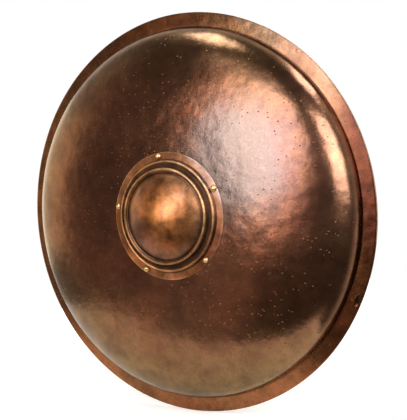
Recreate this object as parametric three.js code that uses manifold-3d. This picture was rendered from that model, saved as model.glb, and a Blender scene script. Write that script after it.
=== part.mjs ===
// Round hoplite shield, the aspis, in millimetres. +Z is up, the shield faces -Y, and the bearer stands
// behind it at +Y with the left forearm along X. The origin is the middle of the forearm's gap.
//
// A bowl-shaped wooden core, made of planks glued edge to edge and turned as one piece, carries a thin
// metal facing. A folded band covers the flat rim. A spun boss with two raised mouldings is held by five
// round-headed rivets that pass through facing and wood and are closed over washers at the back. Behind it
// are the forearm band with its leather lining, and near the rim a leather hand grip on two rings that
// swing in eyes.
import * as THREE from "three";
import { mergeVertices } from "three/addons/utils/BufferGeometryUtils.js";
import Module from "manifold-3d";

// Whole shield
const shieldDiameter = 900;
const rimWidth = 32.4; // from the edge in to the bowl's wall
const rimDrop = 2.4; // how far the rim's front falls back towards its edge
const bowlDepth = 91; // from the rim's inner edge forward to the middle of the bowl
const fit = 0.3; // clearance between pieces that lie on each other
const overrun = 2; // how far a cutter runs past what it cuts

// Facing, a thin sheet over the whole bowl
const facingSheet = 0.6;
const facingFlangeWidth = 10.4; // turned out under the rim cover

// Rim cover, folded round the edge
const rimSheet = 0.8;
const rimLipWidth = 24; // the part that lies on the back
const rimEdgeBevel = 0.6;
const rimWallFit = 0.5; // between its inner edge and the bowl's wall

// Wooden core
const coreCentreThickness = 7;
const coreWallThickness = 10;
const coreEdgeThickness = 4.4;
const coreBackBevel = 4; // eases the edge where the bowl's inside meets the rim's back
const firstGlueLineInset = 27.7; // from the boss's edge, to stay between its rivets
const plankWidth = 112.5; // of the rows after the first
const wholeRowCount = 1; // the row after these is pieced from three lengths
const middlePlankLength = 300;

// Boss
const bossSheet = 1;
const flangeRadius = 140.2;
const flangeWidth = 16.2;
const flangeFall = 1; // the flange leans back by this much towards its edge
const beadFootRun = 1.7; // how far each bead's outer foot leans in as it rises
const outerBeadHalfWidth = 3.3;
const outerBeadHeight = 11; // crest above the flange's edge
const stepWidth = 8;
const stepDrop = 2.6; // from the outer bead's crest back to the step
const innerBeadHalfWidth = 3.2;
const innerBeadRise = 11.7; // from the step forward to the inner bead's crest
const grooveRun = 2.6; // from the inner bead's foot in to the groove
const grooveDrop = 1.3;
const domeFootRun = 2.5; // from the groove in to the dome's foot
const domeFootRise = 0.8;
const domeRise = 35;

// Boss rivets and the washers that they are closed over
const bossRivetCount = 5;
const bossRivetInset = 7.6; // from the flange's edge
const bossRivetTurn = 100.8; // degrees from +X up to the first rivet
const rivetHeadRadius = 6.5;
const rivetHeadHeight = 6;
const rivetShankRadius = 3;
const roveRadius = 8;
const roveThickness = 1.6;
const rivetTailRadius = 4.6;
const rivetTailHeight = 2;

// Forearm band and its lining
const armGapWidth = 100;
const armGapHeight = 80;
const armGapBend = 3; // where the arch turns out into its feet
const liningThickness = 2.5;
const liningInset = 4; // the lining's edges stay this far inside the band's
const bandSheet = 1.5;
const bandWidth = 92;
const bandNeckWidth = 62; // at the foot of the arch
const bandShoulderHeight = 55; // above this the band has its full width
const bandNeckHeight = 14;
const footLength = 54;
const footTipRadius = 11;
const bandRivetHeadRadius = 5.5;
const bandRivetHeadHeight = 3.2;
const bandRivetShankRadius = 2.2;
const bandRivetDepth = 5.2; // how deep the shank goes into the wood
const bandRivetSpread = 40; // between the two rivets next to the arch
const bandRivetNear = 16; // from the arch to the pair
const bandRivetFar = 41; // from the arch to the one at the tip

// Hand grip with its brackets and rings
const bracketInset = 57.6; // from the bowl's wall towards the shield's axis
const bracketSpread = 160; // between the two brackets
const bracketLength = 44;
const bracketWidth = 24;
const bracketThickness = 2;
const bracketRecess = 1; // sideways room round the plate in the wood's flat seat
const bracketNailInset = 7; // from the plate's end
const nailHeadRadius = 3.6;
const nailHeadHeight = 1.8;
const nailShankRadius = 1.5;
const nailDepth = 5;
const eyeWire = 2;
const eyeHoleRadius = 6;
const eyeStand = 1.5; // from the plate up to the eye's wire
const eyeNeckWidth = 8;
const eyeNeckThickness = 4;
const ringRadius = 13;
const ringWire = 2;
const ringLean = 52; // degrees between the ring's pull and the line through both eyes
const gripRise = 38; // of the handle's middle line over the line through both eyes
const gripRadius = 11;
const gripLeather = 2; // what is left round the ring
const gripStrapHalfWidth = 5;
const gripStrapHalfThickness = 3.6; // pinched by the rivet
const gripOverhang = 6.5; // from the ring to the strap's end
const gripRivetFromRing = 12.5;
const gripRivetHeadRadius = 3.2;
const gripRivetHeadHeight = 1.6;
const gripRivetShankRadius = 1.4;

// How finely the round forms are cut, as counts
const bowlSides = 56;
const bowlSteps = 8;
const coreBackSteps = 7;
const bossSides = 36;
const domeSteps = 6;
const beadSteps = 3;
const rivetSides = 8;
const headSteps = 2;
const archSteps = 14;
const ringSides = 16;
const wireSides = 6;
const gripSides = 8;
const gripSteps = 7; // rings in each half of the grip

// Exponents that set how full the curves are
const archFullness = 2.6;
const bowlSpacing = 1.5; // crowds the bowl's points towards its middle

const rightAngle = Math.PI / 2;
const degrees = Math.PI / 180;
const halves = [
  [1, "upper"],
  [-1, "lower"],
];

// Sizes that follow
const shieldRadius = shieldDiameter / 2;
const wallRadius = shieldRadius - rimWidth;
const bracketRadius = wallRadius - bracketInset;
const rimFall = (r) => (rimDrop * (r - wallRadius)) / rimWidth;
const rimBack = rimDrop + coreEdgeThickness + 2 * (rimSheet + fit);
const coreBack = rimBack - rimSheet - fit;
const coreFrontRadius = wallRadius - facingSheet - fit;
const coreFrontDepth = bowlDepth - facingSheet - fit;
const coreBackRadius = coreFrontRadius - coreWallThickness;
const coreBackDepth = coreFrontDepth - coreCentreThickness;
const coreEdgeRadius = shieldRadius - rimSheet - fit;
const facingEdgeRadius = wallRadius + facingFlangeWidth;
const flangeInnerRadius = flangeRadius - flangeWidth;
const flangeLean = Math.atan(flangeFall / flangeWidth);
const bossRivetCircle = flangeRadius - bossRivetInset;
const firstGlueLine = flangeRadius - firstGlueLineInset;
const outerBeadRadius = flangeInnerRadius - beadFootRun - outerBeadHalfWidth; // circle of the crest
const stepRadius = outerBeadRadius - outerBeadHalfWidth - stepWidth;
const stepHeight = outerBeadHeight - stepDrop;
const innerBeadRadius = stepRadius - beadFootRun - innerBeadHalfWidth;
const innerBeadHeight = stepHeight + innerBeadRise;
const grooveRadius = innerBeadRadius - innerBeadHalfWidth - grooveRun;
const grooveHeight = innerBeadHeight - innerBeadHalfWidth - grooveDrop;
const domeFootRadius = grooveRadius - domeFootRun;
const domeFootHeight = grooveHeight + domeFootRise;
const armCentre = -coreBackDepth + armGapHeight / 2;
const bracketNailSpread = bracketLength - 2 * bracketNailInset;
const eyeRadius = eyeHoleRadius + eyeWire; // middle of the wire
const eyeHeight = bracketThickness + eyeStand + eyeWire + eyeRadius; // hole's middle above the wood
const ringSag = ringRadius - Math.sqrt(ringRadius ** 2 - gripStrapHalfWidth ** 2);
const gripHoleRadius = ringWire + ringSag + fit;

const wasm = await Module();
wasm.setup();

// A closed geometry as a solid that can be joined and cut.
function toSolid(geometry, matrix = new THREE.Matrix4()) {
  const loose = geometry.clone().applyMatrix4(matrix);
  for (const name of Object.keys(loose.attributes)) {
    if (name !== "position") loose.deleteAttribute(name);
  }
  const merged = mergeVertices(loose);
  const made = new wasm.Manifold(
    new wasm.Mesh({
      numProp: 3,
      vertProperties: merged.attributes.position.array,
      triVerts: new Uint32Array(merged.index.array),
    }),
  );
  return made;
}

// A solid's surface as a geometry with flat faces.
function toGeometry(solid) {
  const { numProp, vertProperties, triVerts } = solid.getMesh();
  const positions = new Float32Array(triVerts.length * 3);
  triVerts.forEach((v, i) => positions.set(vertProperties.subarray(v * numProp, v * numProp + 3), i * 3));
  const geometry = new THREE.BufferGeometry().setAttribute("position", new THREE.BufferAttribute(positions, 3));
  geometry.computeVertexNormals();
  return geometry;
}

const point = (x, y) => new THREE.Vector2(x, y);

// The bowl's meridian as points of radius and y, from the middle out to the wall: nearly flat over the
// middle, then round the shoulder to a wall that stands upright on the rim.
function bowlCurve(radius, depth, steps) {
  return Array.from({ length: steps + 1 }, (_, i) => {
    const turn = rightAngle * (i / steps) ** bowlSpacing;
    return point(radius * Math.sqrt(Math.sin(turn)), -depth * Math.cos(turn));
  });
}

// The y of a curve of points at one radius.
function curveAt(curve, radius) {
  const i = Math.max(1, curve.findIndex((p) => p.x >= radius));
  const [a, b] = [curve[i - 1], curve[i]];
  return a.y + ((b.y - a.y) * (radius - a.x)) / (b.x - a.x);
}

// The curve that runs beside a polyline at one distance, on its left hand.
function beside(line, distance) {
  return line.map((p, i) => {
    const before = i > 0 ? p.clone().sub(line[i - 1]).normalize() : null;
    const after = i < line.length - 1 ? line[i + 1].clone().sub(p).normalize() : null;
    const [u, v] = [before ?? after, after ?? before];
    const normal = point(-u.y - v.y, u.x + v.x);
    return p.clone().addScaledVector(normal, distance / (1 + u.dot(v)));
  });
}

// A solid of revolution about Y. The outline is given as radius and y, with the metal on its left hand.
function turned(outline, sides) {
  return new THREE.LatheGeometry(outline, sides);
}

function closed(outline) {
  return [...outline, outline[0].clone()];
}

const facingCurve = bowlCurve(wallRadius, bowlDepth, bowlSteps);
const facingBackCurve = bowlCurve(wallRadius - facingSheet, bowlDepth - facingSheet, bowlSteps);
const coreFrontCurve = bowlCurve(coreFrontRadius, coreFrontDepth, bowlSteps);
const coreBackCurve = bowlCurve(coreBackRadius, coreBackDepth, coreBackSteps);

// Where the boss rivets' heads sit on the flange, and how far from there their tails are closed
const flangeSeat = curveAt(facingCurve, flangeRadius) - fit;
const flangeRiseAtRivet = flangeFall * ((flangeRadius - bossRivetCircle) / flangeWidth);
const rivetHeadSeat = flangeSeat - flangeRiseAtRivet - bossSheet - fit;
const roveSeat = curveAt(coreBackCurve, bossRivetCircle) - rivetHeadSeat + roveRadius * Math.sin(flangeLean) + fit;
const rivetTailSeat = roveSeat + roveThickness + fit;

// Places of the fasteners, as matrices whose +Y points out of the back
function bossRivetPlaces() {
  return Array.from({ length: bossRivetCount }, (_, i) => {
    const angle = bossRivetTurn * degrees - (i * 2 * Math.PI) / bossRivetCount;
    return new THREE.Matrix4()
      .makeRotationY(-angle)
      .multiply(new THREE.Matrix4().makeTranslation(bossRivetCircle, rivetHeadSeat, 0))
      .multiply(new THREE.Matrix4().makeRotationZ(flangeLean));
  });
}

const bandFootInner = armGapWidth / 2 + liningThickness + fit + bandSheet;
const bandFootTop = -coreBackDepth + fit + liningThickness + fit + bandSheet;

function bandRivetPlaces() {
  const places = [];
  for (const side of [1, -1]) {
    for (const [x, z] of [
      [-bandRivetSpread / 2, bandFootInner + bandRivetNear],
      [bandRivetSpread / 2, bandFootInner + bandRivetNear],
      [0, bandFootInner + bandRivetFar],
    ]) {
      places.push(new THREE.Matrix4().makeTranslation(x, bandFootTop + fit, side * z));
    }
  }
  return places;
}

// The frame of one grip bracket on the wood: +X up the bowl's wall, +Y out of the wood, +Z round the bowl.
function bracketFrame(side) {
  const z = (side * bracketSpread) / 2;
  const x = -Math.sqrt(bracketRadius ** 2 - z ** 2);
  const inner = curveAt(coreBackCurve, bracketRadius - bracketWidth / 2);
  const outer = curveAt(coreBackCurve, bracketRadius + bracketWidth / 2);
  const slope = Math.atan((outer - inner) / bracketWidth);
  const out = new THREE.Vector3(x, 0, z).normalize();
  const up = new THREE.Vector3(0, 1, 0);
  const along = out.clone().multiplyScalar(Math.cos(slope)).addScaledVector(up, Math.sin(slope));
  const normal = up.clone().multiplyScalar(Math.cos(slope)).addScaledVector(out, -Math.sin(slope));
  const round = along.clone().cross(normal);
  const seat = curveAt(coreBackCurve, bracketRadius);
  return new THREE.Matrix4().makeBasis(along, normal, round).setPosition(x, seat, z);
}

function bracketNailPlaces() {
  const places = [];
  for (const side of [1, -1]) {
    for (const end of [1, -1]) {
      const shift = new THREE.Matrix4().makeTranslation(0, bracketThickness + fit, (end * bracketNailSpread) / 2);
      places.push(bracketFrame(side).multiply(shift));
    }
  }
  return places;
}

// The line that the grip swings about, through the middle of both eyes. Its frame has +Y along the grip's
// reach at rest, +Z up, and its origin half way between the eyes.
function swingFrame() {
  const upper = new THREE.Vector3(0, eyeHeight, 0).applyMatrix4(bracketFrame(1));
  const reach = new THREE.Vector3();
  bracketFrame(1).extractBasis(new THREE.Vector3(), reach, new THREE.Vector3());
  reach.setZ(0).normalize();
  const up = new THREE.Vector3(0, 0, 1);
  const frame = new THREE.Matrix4().makeBasis(reach.clone().cross(up), reach, up);
  return { frame: frame.setPosition(upper.x, upper.y, 0), halfSpan: upper.z };
}

// A round head's outline from its seat at y = 0 up to its top
function roundHead(radius, height) {
  return Array.from({ length: headSteps + 1 }, (_, i) => {
    const turn = (rightAngle * i) / headSteps;
    return point(i < headSteps ? radius * Math.cos(turn) : 0, height * Math.sin(turn));
  });
}

// A nail along Y with its head at the top
function headedPin(headRadius, headHeight, shankRadius, shankEnd) {
  const shank = [point(0, shankEnd), point(shankRadius, shankEnd), point(shankRadius, 0)];
  return turned([...shank, ...roundHead(headRadius, headHeight)], rivetSides);
}

// Round hole cutter along Y between two heights, widened so that its flats clear the shank.
function borer(radius, low, high) {
  const clear = (radius + fit) / Math.cos(Math.PI / rivetSides);
  const geometry = new THREE.CylinderGeometry(clear, clear, high - low, rivetSides);
  return geometry.translate(0, (low + high) / 2, 0);
}

function bore(solid, geometry, places) {
  return places.reduce((left, place) => left.subtract(toSolid(geometry, place)), solid);
}

function bossRivet() {
  return turned(
    [
      ...roundHead(rivetHeadRadius, -rivetHeadHeight).toReversed(),
      point(rivetShankRadius, 0),
      point(rivetShankRadius, rivetTailSeat),
      point(rivetTailRadius, rivetTailSeat),
      point(rivetTailRadius / 2, rivetTailSeat + rivetTailHeight),
      point(0, rivetTailSeat + rivetTailHeight),
    ],
    rivetSides,
  );
}

function rove() {
  const holeRadius = rivetShankRadius + fit;
  const top = roveSeat + roveThickness;
  const outline = closed([
    point(holeRadius, roveSeat),
    point(roveRadius, roveSeat),
    point(roveRadius, top),
    point(holeRadius, top),
  ]);
  return turned(outline, rivetSides);
}

function facing() {
  const flange = (r) => rimFall(r) + rimSheet + fit;
  const outline = [
    ...facingCurve,
    point(wallRadius, flange(wallRadius)),
    point(facingEdgeRadius, flange(facingEdgeRadius)),
    point(facingEdgeRadius, flange(facingEdgeRadius) + facingSheet),
    point(wallRadius - facingSheet, flange(wallRadius) + facingSheet),
    ...facingBackCurve.toReversed(),
  ];
  const sheet = toSolid(turned(outline, bowlSides));
  return toGeometry(bore(sheet, borer(rivetShankRadius, -rivetHeadHeight, rivetTailSeat), bossRivetPlaces()));
}

function rimCover() {
  const inner = wallRadius + rimWallFit;
  const lip = shieldRadius - rimLipWidth;
  const outline = closed([
    point(inner, rimFall(inner)),
    point(shieldRadius - rimEdgeBevel, rimDrop),
    point(shieldRadius, rimDrop + rimEdgeBevel),
    point(shieldRadius, rimBack - rimEdgeBevel),
    point(shieldRadius - rimEdgeBevel, rimBack),
    point(lip, rimBack),
    point(lip, rimBack - rimSheet),
    point(shieldRadius - rimSheet, rimBack - rimSheet),
    point(shieldRadius - rimSheet, rimDrop + rimSheet),
    point(inner, rimFall(inner) + rimSheet),
  ]);
  return turned(outline, bowlSides);
}

// Flat seats that the brackets sit in, cut square to the wall
function bracketSeat() {
  const width = bracketWidth + 2 * bracketRecess;
  const length = bracketLength + 2 * bracketRecess;
  return new THREE.BoxGeometry(width, eyeHeight, length).translate(0, eyeHeight / 2 - fit, 0);
}

function core() {
  const front = (r) => rimFall(r) + rimSheet + fit;
  const rebate = (r) => front(r) + facingSheet + fit;
  const rebateEdge = facingEdgeRadius + fit;
  const outline = [
    ...coreFrontCurve,
    point(coreFrontRadius, rebate(coreFrontRadius)),
    point(rebateEdge, rebate(rebateEdge)),
    point(rebateEdge, front(rebateEdge)),
    point(coreEdgeRadius, front(coreEdgeRadius)),
    point(coreEdgeRadius, coreBack),
    point(coreBackRadius + coreBackBevel, coreBack),
    point(coreBackRadius, coreBack - coreBackBevel),
    ...coreBackCurve.toReversed(),
  ];
  let wood = toSolid(turned(outline, bowlSides));
  wood = bore(wood, borer(rivetShankRadius, -rivetHeadHeight, rivetTailSeat), bossRivetPlaces());
  const bandHole = borer(bandRivetShankRadius, bandRivetBottom - fit, 0);
  wood = bore(wood, bandHole, bandRivetPlaces());
  for (const side of [1, -1]) {
    wood = wood.subtract(toSolid(bracketSeat(), bracketFrame(side)));
  }
  const nailHole = borer(nailShankRadius, nailBottom - fit, 0);
  return bore(wood, nailHole, bracketNailPlaces());
}

const bandRivetBottom = -(bandSheet + liningThickness + 3 * fit + bandRivetDepth);
const nailBottom = -(bracketThickness + fit + nailDepth);

const glueLine = (row) => firstGlueLine + (row - 1) * plankWidth;

// Where the planks of a row begin and end along X.
function plankEnds(row) {
  if (row !== wholeRowCount + 1) return [["", -shieldRadius, shieldRadius]];
  const joint = middlePlankLength / 2;
  return [
    ["_hand", -shieldRadius, -joint - fit / 2],
    ["_middle", -joint + fit / 2, joint - fit / 2],
    ["_elbow", joint + fit / 2, shieldRadius],
  ];
}

// The turned core, sawn along its glue lines into planks that run level across the shield. Rows are
// counted from the glue line in the middle, and the last one takes what is left up to the edge.
function planks() {
  const turnedCore = core();
  const rows = 1 + Math.max(1, Math.round((coreEdgeRadius - firstGlueLine) / plankWidth));
  const sawn = [];
  for (const [side, name] of halves) {
    for (let row = 1; row <= rows; row++) {
      const low = row > 1 ? glueLine(row - 1) + fit / 2 : fit / 2;
      const high = row < rows ? glueLine(row) - fit / 2 : shieldRadius;
      for (const [place, left, right] of plankEnds(row)) {
        const slab = new THREE.BoxGeometry(right - left, shieldDiameter, high - low);
        slab.translate((left + right) / 2, 0, (side * (high + low)) / 2);
        sawn.push([`core_plank_${name}_${row}${place}`, toGeometry(turnedCore.intersect(toSolid(slab)))]);
      }
    }
  }
  return sawn;
}

// A half-round bead, from its outer foot over the crest to its inner foot. Heights are positive here.
function bead(radius, height, halfWidth) {
  return Array.from({ length: beadSteps + 1 }, (_, i) => {
    const turn = (Math.PI * i) / beadSteps;
    return point(radius + halfWidth * Math.cos(turn), height - halfWidth + halfWidth * Math.sin(turn));
  });
}

function dome() {
  const ball = (domeFootRadius ** 2 / domeRise + domeRise) / 2;
  const foot = Math.asin(domeFootRadius / ball);
  return Array.from({ length: domeSteps + 1 }, (_, i) => {
    const turn = foot * (1 - i / domeSteps);
    return point(ball * Math.sin(turn), domeFootHeight + domeRise - ball * (1 - Math.cos(turn)));
  });
}

// The boss as one spun sheet: flange, outer bead, step, inner bead, groove and dome. Its outline is drawn
// as heights above the seat of the flange's edge.
function boss() {
  const top = [
    point(flangeRadius, bossSheet),
    point(flangeInnerRadius, bossSheet + flangeFall),
    ...bead(outerBeadRadius, outerBeadHeight, outerBeadHalfWidth),
    point(stepRadius, stepHeight),
    ...bead(innerBeadRadius, innerBeadHeight, innerBeadHalfWidth),
    point(grooveRadius, grooveHeight),
    ...dome(),
  ];
  const under = beside(top, bossSheet);
  under[0].x = flangeRadius;
  under[under.length - 1].x = 0;
  const outline = [...top.toReversed(), ...under].map((p) => point(p.x, flangeSeat - p.y));
  const sheet = toSolid(turned(outline, bossSides));
  return toGeometry(bore(sheet, borer(rivetShankRadius, -rivetHeadHeight, rivetTailSeat), bossRivetPlaces()));
}

// The gap for the forearm, seen along the arm as z and y, from foot tip to foot tip over the arch
function armGapOutline() {
  const half = armGapWidth / 2;
  const floor = -coreBackDepth + fit;
  const foot = bandFootInner + footLength;
  const springing = floor + armGapBend;
  const rise = armGapHeight - fit - armGapBend;
  const arch = Array.from({ length: archSteps + 1 }, (_, i) => {
    const turn = (Math.PI * i) / archSteps;
    const across = Math.abs(Math.cos(turn)) ** (2 / archFullness) * Math.sign(Math.cos(turn));
    return point(-half * across, springing + rise * Math.sin(turn) ** (2 / archFullness));
  });
  return [
    point(-foot, floor),
    point(-half - armGapBend, floor),
    ...arch,
    point(half + armGapBend, floor),
    point(foot, floor),
  ];
}

// A strip bent over the arm gap, between two distances from the gap's outline, as wide as asked along X
function bentStrip(near, far, width) {
  const line = armGapOutline();
  const outline = [...beside(line, near), ...beside(line, far).toReversed()];
  const geometry = new THREE.ExtrudeGeometry(new THREE.Shape(outline), { depth: width, bevelEnabled: false });
  // The outline's own axes are z and y, so the extrusion turns to lie along X.
  return geometry.translate(0, 0, -width / 2).rotateY(-rightAngle);
}

// What the band's edges leave, seen from the back: a leaf-shaped foot at each end of a full-width arch
function bandPlan(inset) {
  const half = bandWidth / 2 - inset;
  const neck = bandNeckWidth / 2 - inset;
  const tipRadius = footTipRadius - inset / 2;
  const root = bandFootInner;
  const tip = bandFootInner + footLength - inset;
  const shape = new THREE.Shape();
  const leaf = (side) => {
    shape.lineTo(side * neck, side * root);
    const bulge = point(side * neck, side * (root + tip) * (1 / 2));
    shape.quadraticCurveTo(bulge.x, bulge.y, side * tipRadius, side * (tip - tipRadius));
    shape.absarc(0, side * (tip - tipRadius), tipRadius, side > 0 ? 0 : Math.PI, side > 0 ? Math.PI : 2 * Math.PI);
    shape.quadraticCurveTo(-bulge.x, bulge.y, -side * neck, side * root);
    shape.lineTo(-side * half, side * root);
  };
  shape.moveTo(half, root);
  leaf(1);
  shape.lineTo(-half, -root);
  leaf(-1);
  shape.closePath();
  const geometry = new THREE.ExtrudeGeometry(shape, { depth: shieldDiameter, bevelEnabled: false, curveSegments: 5 });
  return toSolid(geometry.translate(0, 0, -shieldRadius).rotateX(-rightAngle));
}

// What the band's edges leave, seen along Z: narrow at the feet, full over the arch
function bandSide(inset) {
  const half = bandWidth / 2 - inset;
  const neck = bandNeckWidth / 2 - inset;
  const low = -coreBackDepth;
  const high = low + armGapHeight + liningThickness + bandSheet + overrun;
  const shape = new THREE.Shape();
  shape.moveTo(-neck, low);
  shape.lineTo(neck, low);
  shape.lineTo(neck, low + bandNeckHeight);
  shape.lineTo(half, low + bandShoulderHeight);
  shape.lineTo(half, high);
  shape.lineTo(-half, high);
  shape.lineTo(-half, low + bandShoulderHeight);
  shape.lineTo(-neck, low + bandNeckHeight);
  shape.closePath();
  const geometry = new THREE.ExtrudeGeometry(shape, { depth: shieldDiameter, bevelEnabled: false });
  return toSolid(geometry.translate(0, 0, -shieldRadius));
}

function bandLayer(near, far, inset) {
  const strip = toSolid(bentStrip(near, far, bandWidth));
  const shaped = strip.intersect(bandPlan(inset)).intersect(bandSide(inset));
  return toGeometry(bore(shaped, borer(bandRivetShankRadius, bandRivetBottom, overrun), bandRivetPlaces()));
}

function armBand() {
  const near = liningThickness + fit;
  return bandLayer(near, near + bandSheet, 0);
}

function armLining() {
  return bandLayer(0, liningThickness, liningInset);
}

// One grip bracket: an oval plate with a standing eye
function gripBracket(side) {
  const plan = new THREE.Shape().absellipse(0, 0, bracketWidth / 2, bracketLength / 2, 0, 2 * Math.PI);
  const plate = new THREE.ExtrudeGeometry(plan, { depth: bracketThickness, bevelEnabled: false, curveSegments: 8 });
  const local = bracketFrame(side);
  let bracket = toSolid(plate.rotateX(-rightAngle), local);
  const { frame, halfSpan } = swingFrame();
  const eyePlace = frame.clone().multiply(new THREE.Matrix4().makeTranslation(0, 0, side * halfSpan));
  const eye = new THREE.TorusGeometry(eyeRadius, eyeWire, wireSides, ringSides);
  const neckTop = eyeHeight - eyeRadius + eyeWire / 2;
  const neck = new THREE.BoxGeometry(eyeNeckWidth, neckTop - bracketThickness / 2, eyeNeckThickness);
  neck.translate(0, (neckTop + bracketThickness / 2) / 2, 0);
  bracket = bracket.add(toSolid(neck, local));
  bracket = bracket.add(toSolid(eye, eyePlace));
  return toGeometry(bore(bracket, borer(nailShankRadius, nailBottom, overrun), bracketNailPlaces()));
}

// Unit vector of a ring's pull, from the eye towards the grip, in the swing frame
function ringPull(side) {
  const lean = ringLean * degrees;
  return new THREE.Vector3(0, Math.sin(lean), -side * Math.cos(lean));
}

// A frame on the ring's pull, so far from the middle of the eye: +X along the pull, +Y along the ring's
// wire where it lies in the eye or in the grip, +Z square to the ring
function pullFrame(side, distance) {
  const { frame, halfSpan } = swingFrame();
  const pull = ringPull(side);
  const across = new THREE.Vector3(1, 0, 0);
  const centre = new THREE.Vector3(0, 0, side * halfSpan).addScaledVector(pull, distance);
  const place = new THREE.Matrix4().makeBasis(pull, across.clone().cross(pull), across);
  return frame.multiply(place.setPosition(centre));
}

function gripRing(side) {
  const ring = new THREE.TorusGeometry(ringRadius, ringWire, wireSides, ringSides);
  return toGeometry(toSolid(ring, pullFrame(side, ringRadius)));
}

// Middle line of the grip's upper half, from its end tab to the middle
function gripCurve() {
  const pull = ringPull(1);
  const eye = new THREE.Vector3(0, 0, swingFrame().halfSpan);
  const start = eye.clone().addScaledVector(pull, 2 * ringRadius - gripOverhang);
  const middle = new THREE.Vector3(0, gripRise, 0);
  const leaving = start.clone().addScaledVector(pull, (gripRise - start.y) / pull.y);
  const arriving = new THREE.Vector3(0, gripRise, start.z / 3);
  return new THREE.CubicBezierCurve3(start, start.clone().lerp(leaving, 2 / 3), arriving, middle);
}

// The leather grip: a strap folded round each ring and pinched by a rivet, swelling to a round handle
function handGrip() {
  const curve = gripCurve();
  const rings = [];
  for (let i = 0; i <= 2 * gripSteps; i++) {
    const upper = i <= gripSteps;
    const share = (upper ? i : 2 * gripSteps - i) / gripSteps;
    const centre = curve.getPoint(share);
    const tangent = curve.getTangent(share);
    if (!upper) centre.z *= -1;
    if (!upper) tangent.y *= -1;
    const across = new THREE.Vector3(1, 0, 0);
    const outward = across.clone().cross(tangent).normalize();
    const pinch = THREE.MathUtils.smoothstep(share, foldShare, strapShare);
    const swell = THREE.MathUtils.smoothstep(share, strapEndShare, handleShare);
    const strap = THREE.MathUtils.lerp(gripHoleRadius + gripLeather, gripStrapHalfThickness, pinch);
    const thick = THREE.MathUtils.lerp(strap, gripRadius, swell);
    const wide = THREE.MathUtils.lerp(gripStrapHalfWidth, gripRadius, swell);
    rings.push({ centre, across: across.multiplyScalar(thick), outward: outward.multiplyScalar(wide) });
  }
  let grip = toSolid(loft(rings, gripSides), swingFrame().frame);
  for (const side of [1, -1]) {
    const reach = gripStrapHalfWidth + overrun;
    grip = grip.subtract(toSolid(borer(gripHoleRadius, -reach, reach), pullFrame(side, 2 * ringRadius)));
  }
  const rivetHole = borer(gripRivetShankRadius, -gripRadius, gripRadius);
  return toGeometry(bore(grip, rivetHole, gripRivetPlaces()));
}

// Shares of the grip's half length where the fold round the ring ends, where the flat strap starts and
// ends, and where the full handle starts
const foldShare = 0.14;
const strapShare = 0.28;
const strapEndShare = 0.44;
const handleShare = 0.85;

// A closed skin through rings of equal point count, each an ellipse about its centre
function loft(rings, sides) {
  const positions = [];
  const indices = [];
  for (const { centre, across, outward } of rings) {
    for (let k = 0; k < sides; k++) {
      const turn = (2 * Math.PI * (k + 1 / 2)) / sides;
      const p = centre.clone().addScaledVector(across, Math.cos(turn)).addScaledVector(outward, Math.sin(turn));
      positions.push(p.x, p.y, p.z);
    }
  }
  for (let i = 0; i + 1 < rings.length; i++) {
    for (let k = 0; k < sides; k++) {
      const [a, b] = [i * sides + k, i * sides + ((k + 1) % sides)];
      indices.push(a, a + sides, b, b, a + sides, b + sides);
    }
  }
  const last = (rings.length - 1) * sides;
  for (let k = 1; k + 1 < sides; k++) {
    indices.push(0, k, k + 1, last, last + k + 1, last + k);
  }
  const geometry = new THREE.BufferGeometry();
  geometry.setAttribute("position", new THREE.Float32BufferAttribute(positions, 3));
  return geometry.setIndex(indices);
}

// Places of the two rivets that close the grip's ends round the rings; +Y lies across the grip
function gripRivetPlaces() {
  const lying = new THREE.Matrix4().makeRotationX(rightAngle);
  return [1, -1].map((side) => pullFrame(side, 2 * ringRadius + gripRivetFromRing).multiply(lying));
}

function gripRivet() {
  const seat = gripStrapHalfThickness * Math.cos(Math.PI / gripSides) + fit;
  const head = roundHead(gripRivetHeadRadius, gripRivetHeadHeight).map((p) => point(p.x, p.y + seat));
  const half = [point(gripRivetShankRadius, seat), ...head];
  const mirrored = half.toReversed().map((p) => point(p.x, -p.y));
  return turned([...mirrored, ...half], rivetSides);
}

const metal = (color, roughness) => new THREE.MeshStandardMaterial({ color, roughness, metalness: 1 });
const facingMetal = metal(0x6b4a35, 0.38);
const rimMetal = metal(0x7d5038, 0.42);
const bossMetal = metal(0x9a6438, 0.34);
const brass = metal(0xd8a860, 0.25);
const fittingMetal = metal(0x8a6238, 0.4);
const wood = new THREE.MeshStandardMaterial({ color: 0x9c7448, roughness: 0.7, metalness: 0 });
const leather = new THREE.MeshStandardMaterial({ color: 0x4a2c1a, roughness: 0.6, metalness: 0 });
const liningLeather = new THREE.MeshStandardMaterial({ color: 0x6d4426, roughness: 0.75, metalness: 0 });

const shield = new THREE.Group();
shield.position.y = -armCentre;

function add(name, geometry, material, place) {
  const mesh = new THREE.Mesh(geometry, material);
  mesh.name = name;
  if (place) mesh.applyMatrix4(place);
  shield.add(mesh);
}

for (const [name, plank] of planks()) add(name, plank, wood);
add("facing", facing(), facingMetal);
add("rim_cover", rimCover(), rimMetal);
add("boss", boss(), bossMetal);
bossRivetPlaces().forEach((place, i) => {
  add(`boss_rivet_${i + 1}`, bossRivet(), brass, place);
  add(`rivet_rove_${i + 1}`, rove(), brass, place);
});
add("arm_band", armBand(), fittingMetal);
add("arm_band_lining", armLining(), liningLeather);
const bandRivet = headedPin(bandRivetHeadRadius, bandRivetHeadHeight, bandRivetShankRadius, bandRivetBottom);
bandRivetPlaces().forEach((place, i) => add(`arm_band_rivet_${i + 1}`, bandRivet, brass, place));
for (const [side, name] of halves) {
  add(`grip_bracket_${name}`, gripBracket(side), fittingMetal);
  add(`grip_ring_${name}`, gripRing(side), brass);
}
const nail = headedPin(nailHeadRadius, nailHeadHeight, nailShankRadius, nailBottom);
bracketNailPlaces().forEach((place, i) => add(`bracket_nail_${i + 1}`, nail, brass, place));
add("hand_grip", handGrip(), leather);
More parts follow.
